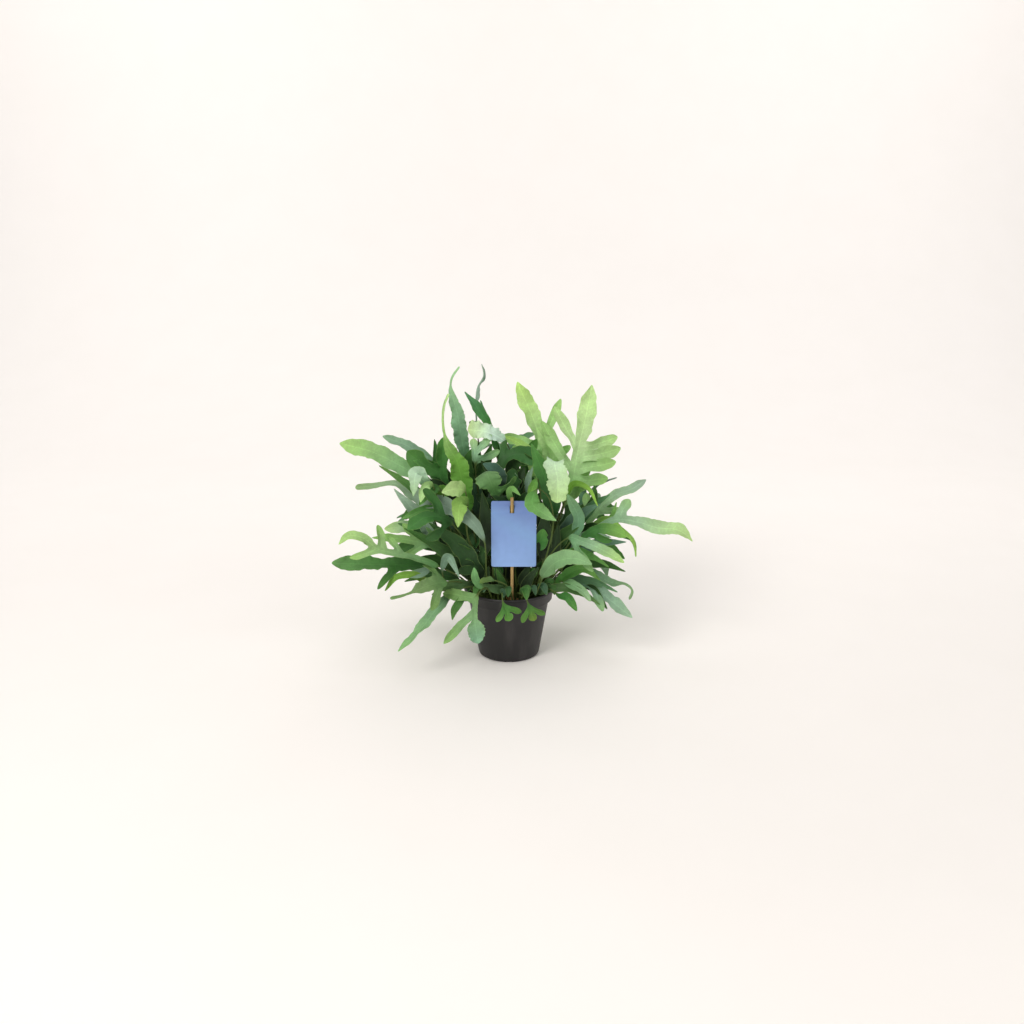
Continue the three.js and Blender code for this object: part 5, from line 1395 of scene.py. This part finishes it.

# %% Smaller fronds that close the crown
# The fills of the crown and the straps by the card have near-black feet: painted shade in the heart of the
# plant.
SMALLER.update({
    "left_shade": ("deep_green", (-30, 0), 21, BLACK_GREEN_PAINTED_SHADE, [
        (-75, -10, 187), (-89, -16, 251), (-109, -20, 277), (-136, -22, 282)]),
    "card_left": ("deep_green", (-20, -24), 23, BLACK_GREEN_PAINTED_SHADE, [
        (-37, -36, 140), (-34, -38, 200), (-35, -38, 241), (-40, -38, 272)]),
    "card_right": ("deep_green", (22, -26), 25, BLACK_GREEN_PAINTED_SHADE, [
        (49, -36, 140), (52, -38, 187), (54, -40, 219), (58, -40, 250)]),
    "crown_fill_a": ("deep_green", (-16, -2), 24, SHADE, [
        (-35, 4, 215), (-38, 6, 277), (-35, 8, 305), (-25, 4, 335)]),
    "crown_fill_b": ("deep_green", (-22, 2), 26, "#203814 #315C20 #4A8038", [
        (-53, 2, 215), (-62, 4, 262), (-65, 2, 297), (-54, -2, 330)]),
    "crown_fill_c": ("deep_green", (-8, 0), 27, BLACK_GREEN_PAINTED_SHADE, [
        (-14, 0, 216), (-18, -2, 263), (-25, -6, 292), (-43, -12, 312)]),
    "crown_fill_d": ("deep_green", (4, -4), 28, BLACK_GREEN_PAINTED_SHADE, [
        (9, -6, 217), (11, -8, 249), (14, -10, 275), (24, -8, 302)]),
    "crown_fill_e": ("deep_green", (-20, 6), 24, "#203814 #315C20 #42783A", [
        (-46, 8, 215), (-48, 10, 270), (-50, 10, 305), (-47, 8, 338)]),
    "crown_second_tip": ("deep_green", (-2, 18), 9, "#2F6428 #3F7A34 #5C9466", [
        (-5, 30, 240), (-20, 36, 330), (-33, 39, 366), (-44, 40, 396)]),
    "crown_arm": ("deep_green", (10, 2), 22, "#203814 #2C521B #3D6E2C", [
        (17, 2, 215), (2, 0, 279), (13, -4, 310), (52, -14, 306)]),
    "card_fill": ("deep_green", (24, -22), 24, BLACK_GREEN_PAINTED_SHADE, [
        (56, -32, 167), (54, -33, 209), (48, -34, 240), (38, -36, 270)]),
    "crown_fill_right": ("fresh_green", (24, 20), 25, "#7DAF62 #A9D088 #B8DE98", [
        (80, 34, 207), (96, 52, 251), (121, 60, 285), (152, 62, 312)]),
    "crown_fill_low": ("fresh_green", (28, 18), 24, "#6FA256 #98C478 #B0D890", [
        (80, 28, 209), (93, 44, 244), (119, 50, 262), (153, 52, 264)]),
    "crown_fill_mid": ("fresh_green", (16, 22), 29, "#7DAF62 #A4CE84 #BEE298", [
        (49, 34, 207), (66, 50, 268), (62, 60, 316), (42, 66, 350)]),
    "crown_fill_left": ("fresh_green", (12, 18), 20, "#6A9C4C #98C46C #BCE07C", [
        (41, 28, 225), (41, 36, 290), (20, 42, 324), (-10, 42, 340)]),
})
print(len(SMALLER), "smaller fronds laid out")

# %% Smaller fronds over the rim and in the mass
# The leaves under the card and in the mass have near-black feet: painted shade under the fronds over them.
SMALLER.update({
    "rim_right_a": ("deep_green", (34, -34), 14, "#2F4A22 #4A7038 #6A9454", [
        (40, -42, 113), (74, -58, 127), (106, -70, 124), (137, -78, 106)]),
    "rim_right_b": ("blue_green", (38, -18), 15, "#2C4A2C #4F7C50 #6FA070", [
        (48, -20, 114), (87, -34, 133), (129, -42, 130), (166, -48, 115)]),
    "rim_right_c": ("deep_green", (40, -4), 17, SHADE, [
        (58, -6, 121), (97, -12, 149), (140, -18, 152), (180, -24, 140)]),
    "rim_left_a": ("deep_green", (-38, -22), 16, "#2A4A20 #42703A #5F9048", [
        (-60, -26, 118), (-92, -36, 137), (-128, -46, 142), (-158, -54, 134)]),
    "rim_left_b": ("deep_green", (-36, -12), 17, SHADE, [
        (-54, -14, 120), (-87, -24, 149), (-117, -30, 163), (-148, -38, 163)]),
    "rim_left_c": ("deep_green", (-32, -34), 15, "#2F4A22 #507440 #6E9450", [
        (-44, -42, 114), (-67, -54, 130), (-93, -66, 131), (-116, -72, 119)]),
    "under_card_a": ("deep_green", (-16, -34), 12, "#1F3816 #31502A #466E36", [
        (-16, -36, 112), (-15, -39, 129), (-16, -41, 144), (-21, -43, 160)]),
    "under_card_b": ("deep_green", (17, -32), 13, BLACK_GREEN_PAINTED_SHADE, [
        (17, -34, 111), (20, -37, 128), (26, -40, 145), (35, -43, 161)]),
    "under_card_c": ("deep_green", (-1, -16), 22, BLACK_GREEN_PAINTED_SHADE, [
        (-1, -17, 114), (-1, -18, 134), (2, -20, 158), (5, -22, 184)]),
    "under_card_d": ("deep_green", (12, -14), 20, BLACK_GREEN_PAINTED_SHADE, [
        (13, -15, 114), (16, -16, 134), (20, -18, 158), (22, -20, 186)]),
    "left_mass": ("deep_green", (-26, -2), 26, "#203814 #3A722E #569440", [
        (-59, -4, 217), (-89, -6, 266), (-113, -8, 298), (-144, -8, 311)]),
    "left_mass_up": ("deep_green", (-24, 2), 22, "#203814 #336427 #47803A", [
        (-63, 0, 216), (-90, 2, 266), (-106, 4, 304), (-112, 4, 342)]),
    "left_mid_low": ("blue_green", (-28, -14), 19, "#2A4A34 #47725A #5F8A72", [
        (-71, -20, 182), (-96, -26, 230), (-126, -30, 251), (-153, -32, 262)]),
    "left_low_mass": ("deep_green", (-30, -18), 19, "#203814 #34602E #4C7C44", [
        (-71, -24, 159), (-104, -32, 187), (-133, -38, 208), (-167, -40, 222)]),
    "right_mass": ("deep_green", (28, -8), 20, "#234020 #3F6E40 #5C8E5C", [
        (72, -10, 171), (101, -16, 212), (126, -20, 244), (153, -22, 262)]),
    "right_mass_low": ("blue_green", (30, -14), 17, "#2F4A38 #527C62 #7DA68C", [
        (72, -16, 153), (108, -26, 178), (144, -30, 188), (179, -32, 190)]),
})
print(len(SMALLER), "smaller fronds laid out")

# %% Growing the smaller fronds
# Ragged ones are pleated, and their margins are crinkled by this much.
RAGGED = {"flap_mint": 1.8, "flap_yellow": 1.9, "flap_low": 1.9, "hook_bright": 1.6, "round_dark": 1.4,
          "over_card_top": 1.6, "card_lobe": 1.5, "crown_fill_mid": 1.5, "left_mass": 1.4}
NARROW_FEET = {"left_dangling": 0.5, "right_strand": 0.45, "hook_bright": 0.3}
# These bend over near their foot, so their stalk stays bare up to the bend.
HOOKED = {"left_arch", "left_curl", "left_middle", "left_low_grey", "crown_arm", *RAGGED}
for k, (name, (tone, root, width, tints, path)) in enumerate(SMALLER.items()):
    ragged = name in RAGGED
    spec = dict(tone=tone, root=root, width=width, tints=tints, path=path, drawn=1.3, peak=0.4, step=8,
                neck=NARROW_FEET.get(name, 0), stalk=1 if name in HOOKED else 0.4,
                sub=3 if ragged else 2, crinkle=RAGGED.get(name, 1.0), pleat=0.9 * ragged)
    faces += grow(name, spec, 400 + k)
print("with", len(SMALLER), "smaller fronds:", faces, "faces")

# %% [markdown]
# ## Inner fronds
#
# A full pot holds many more fronds than those that reach out of it. The inner ones are older and lie in the
# shade of the outer ones: their tints are near-black deep greens, which is painted shade on top of their own
# green. They are plain or have two short lobes, and they close the heart of the plant, so that hardly any
# light comes through. Copies of one frond could fill it too, but copies show.
# So each is drawn afresh, a golden turn further round than the last, and kept inside an
# egg-shaped space that the outer fronds reach out of.

# %% Inner fronds
INNER_COUNT = 40
GOLDEN_TURN = math.radians(137.5)
INNER_WIDE, INNER_BACK, INNER_FRONT = 128, 100, 38
INNER_TOP, INNER_FALL = 318, 150
STALKS_TOP = 118  # height at which the stalks leave the clump


def golden_way(k, sway, draw):
    """The way that the k-th leaf points, seen from above, and the level way across it."""
    turn = k * GOLDEN_TURN + draw.uniform(-sway, sway)
    way = np.array([math.cos(turn), math.sin(turn)])
    return way, np.array([-way[1], way[0]])


def inner_spec(k, draw):
    """The measures of one inner frond: upright ones end high, wide-spread ones end low."""
    way, side = golden_way(k, 0.25, draw)
    deep = INNER_BACK if way[1] > 0 else INNER_FRONT
    reach = draw.uniform(0.35, 1.0)
    spread = reach / math.hypot(way[0] / INNER_WIDE, way[1] / deep)
    top = INNER_TOP - INNER_FALL * reach ** 2 + draw.uniform(-25, 12)
    sway = draw.uniform(-14, 14)
    foot = way * draw.uniform(12, 42) * (0.7 if way[1] < 0 else 1)
    rise = top - STALKS_TOP

    def point(share, bend, height):
        spot = foot + (way * spread - foot) * share + side * sway * bend
        return (*spot.round(1), round(height, 1))

    looks = 0.8 if way[1] > 0.35 else -0.8
    return dict(
        tone="deep_green", tints=INNER_PAINTED_SHADE_TINTS[k % 3], root=tuple(foot.round(1)),
        face=((way[0] * 0.5, looks, 0.45), (way[0] * 0.5, looks * 0.8, 0.8)),
        width=draw.uniform(18, 27), sub=2,
        lobes=[(0.3, "L", 34, 56, 13), (0.42, "R", 32, 52, 13)] if k % 3 == 0 else (),
        path=[point(0.12, 0.3, STALKS_TOP), point(0.45, 1, STALKS_TOP + rise * 0.62),
              point(0.8, 0.8, STALKS_TOP + rise * 0.95), point(1, 0, top - 30 * reach)])


draw = random.Random(31)
for k in range(INNER_COUNT):
    faces += grow(f"inner_frond_{k:02d}", inner_spec(k, draw), 300 + k)
print("with", INNER_COUNT, "inner fronds:", faces, "faces")

# %% [markdown]
# ## Low leaves
#
# The lowest leaves stand on short stalks in a ring just over the pot's rim. They hide the bare stalks of the
# taller fronds, and their tints are the darkest green of all: painted shade, as they get the least light.
# They end at two heights, and each leaf is a golden turn from the last, like the inner fronds.

# %% Low leaves
LOW_COUNT = 34
LEAVING = 48  # distance from the middle at which a low leaf leaves the clump


def low_spec(k, draw):
    """The measures of one low leaf: those in front lie lower, reach further and are slimmer."""
    way, across = golden_way(k, 0.2, draw)
    side = across * draw.uniform(-16, 16)
    foot = way * draw.uniform(26, 44)
    reach = draw.uniform(62, 96) * (0.8 if way[1] < 0 else 1)
    top = draw.uniform(146, 196) if k % 2 else draw.uniform(128, 150)
    width = draw.uniform(15, 22)
    if way[1] < -0.6:
        top, reach, width = 126 + 0.1 * (top - 126), reach + 12, 0.62 * width

    def point(run, bend, height):
        return (*(way * run + side * bend).round(1), height)

    looks = (way[0] * 0.4, -0.8 if way[1] < 0.35 else 0.8, 0.6)
    return dict(
        tone="deep_green", tints=INNER_PAINTED_SHADE_TINTS[k % 3], root=tuple(foot.round(1)), face=(looks, looks),
        width=width, drawn=draw.uniform(0.4, 1.5), sub=2,
        path=[point(52, 0, 116), point(LEAVING + 0.4 * (reach - LEAVING), 0.5, top - 12),
              point(LEAVING + 0.75 * (reach - LEAVING), 1, top), point(reach, 1, top - 14)])


draw = random.Random(47)
for k in range(LOW_COUNT):
    faces += grow(f"low_leaf_{k:02d}", low_spec(k, draw), 500 + k)
print("with", LOW_COUNT, "low leaves:", faces, "faces")

# %% [markdown]
# ## Tufts of young fronds
#
# The fern creeps on a rhizome: a finger-thin stem on the soil, covered in golden-brown scales.
# Young fronds stand on it in a row. The rhizome is a chain of balls, laid through the places
# where its fronds stand and grown into one skin by a remesh. Its scales could be small leaves
# laid like tiles, but they are 2 mm long and the fronds hide them, so they are the cells of a
# pattern with a strong relief.

# %% Tufts
TUFTS = {
    # node: the rhizome's places, the way its fronds face, and their (root, width, path)
    "tuft_middle": ([(-6, -20), (4, -25), (16, -28)], FRONT, [
        ((-6, -20), 24, [(-14, -27, 130), (-24, -30, 165), (-31, -31, 204)]),
        ((1, -23), 17, [(0, -30, 122), (-9, -33, 138), (-24, -33, 148)]),
        ((8, -26), 17, [(14, -32, 122), (26, -38, 140), (44, -40, 146)]),
        ((16, -28), 22, [(26, -34, 140), (42, -38, 175), (52, -41, 214)]),
    ]),
    "tuft_back": ([(-8, 45), (1, 49), (10, 50)], FAR, [
        ((-8, 45), 22, [(-14, 62, 126), (-20, 84, 152), (-24, 112, 164)]),
        ((2, 49), 22, [(4, 66, 128), (5, 92, 138), (4, 122, 120), (2, 140, 92)]),
        ((10, 50), 20, [(15, 66, 126), (24, 86, 152), (30, 112, 172)]),
    ]),
}
BEAD_STEP, BEAD_RADIUS = 2.6, (3.6, 4.1)
RHIZOME_RAISE = 1


def make_rhizome(places):
    """A creeping stem along the soil under its fronds, with its scales."""
    draw = random.Random(5)
    line = smooth_line([(x, y, soil_height(math.hypot(x, y)) + RHIZOME_RAISE) for x, y in places])
    parts = []
    for run in np.arange(0, line[2][-1] + 0.1, BEAD_STEP):
        spot = points_at(line, np.array([run]))[0]
        bpy.ops.mesh.primitive_uv_sphere_add(segments=16, ring_count=8, radius=1, location=spot * MM)
        bead = bpy.context.object
        bead.scale = Vector((1, 1, 1)) * draw.uniform(*BEAD_RADIUS) * MM
        parts.append(bead)
    select_only(*parts)
    bpy.ops.object.transform_apply(location=True, rotation=True, scale=True)
    bpy.ops.object.join()
    stem = bpy.context.object
    smooth = stem.modifiers.new("grown_together", "REMESH")
    smooth.mode = "VOXEL"
    smooth.voxel_size = 0.7 * MM
    apply_modifiers(stem)
    bpy.ops.object.shade_smooth()
    stem.data.materials.append(rhizome_scales)
    return stem


# Rhizome scales: papery, golden brown, laid like tiles, with fine hairs that hold the light.
rhizome_scales, tree = new_material("rhizome scales, golden brown and papery")
place = add(tree, "TexCoord")
tiles = add(tree, "TexVoronoi", {"Vector": place.outputs["Object"], "Scale": 620.0})
shades = add(tree, "ValToRGB", {"Fac": tiles})
shades.color_ramp.elements[0].color = linear("#C89A52")
shades.color_ramp.elements[1].color = linear("#6E4A22")
bump = add(tree, "Bump", {"Height": tiles, "Strength": 0.9, "Distance": 0.0012}, invert=True)
skin = add(tree, "BsdfPrincipled", {"Base Color": shades, "Roughness": 0.75,
                                    "Sheen Weight": 0.3, "Normal": bump})
finish_with(tree, skin)

for turn, (name, (places, looks, rows)) in enumerate(TUFTS.items()):
    young = []
    for k, (root, width, path) in enumerate(rows):
        spec = dict(tone="deep_green", root=root, width=width, path=path, face=(looks, looks))
        young.append(make_frond(f"{name}_{k}", spec, (20 + turn) * 10 + k, on_rhizome=True))
    select_only(*young)
    bpy.ops.object.join()
    bpy.context.object.name = "fern_" + name
    grown = settle(bpy.context.object, "frond_deep_green", name)
    stem = settle(make_rhizome(places), "frond_deep_green")
    stem.name = "rhizome_" + name
    print(name, len(grown.data.polygons), "faces")
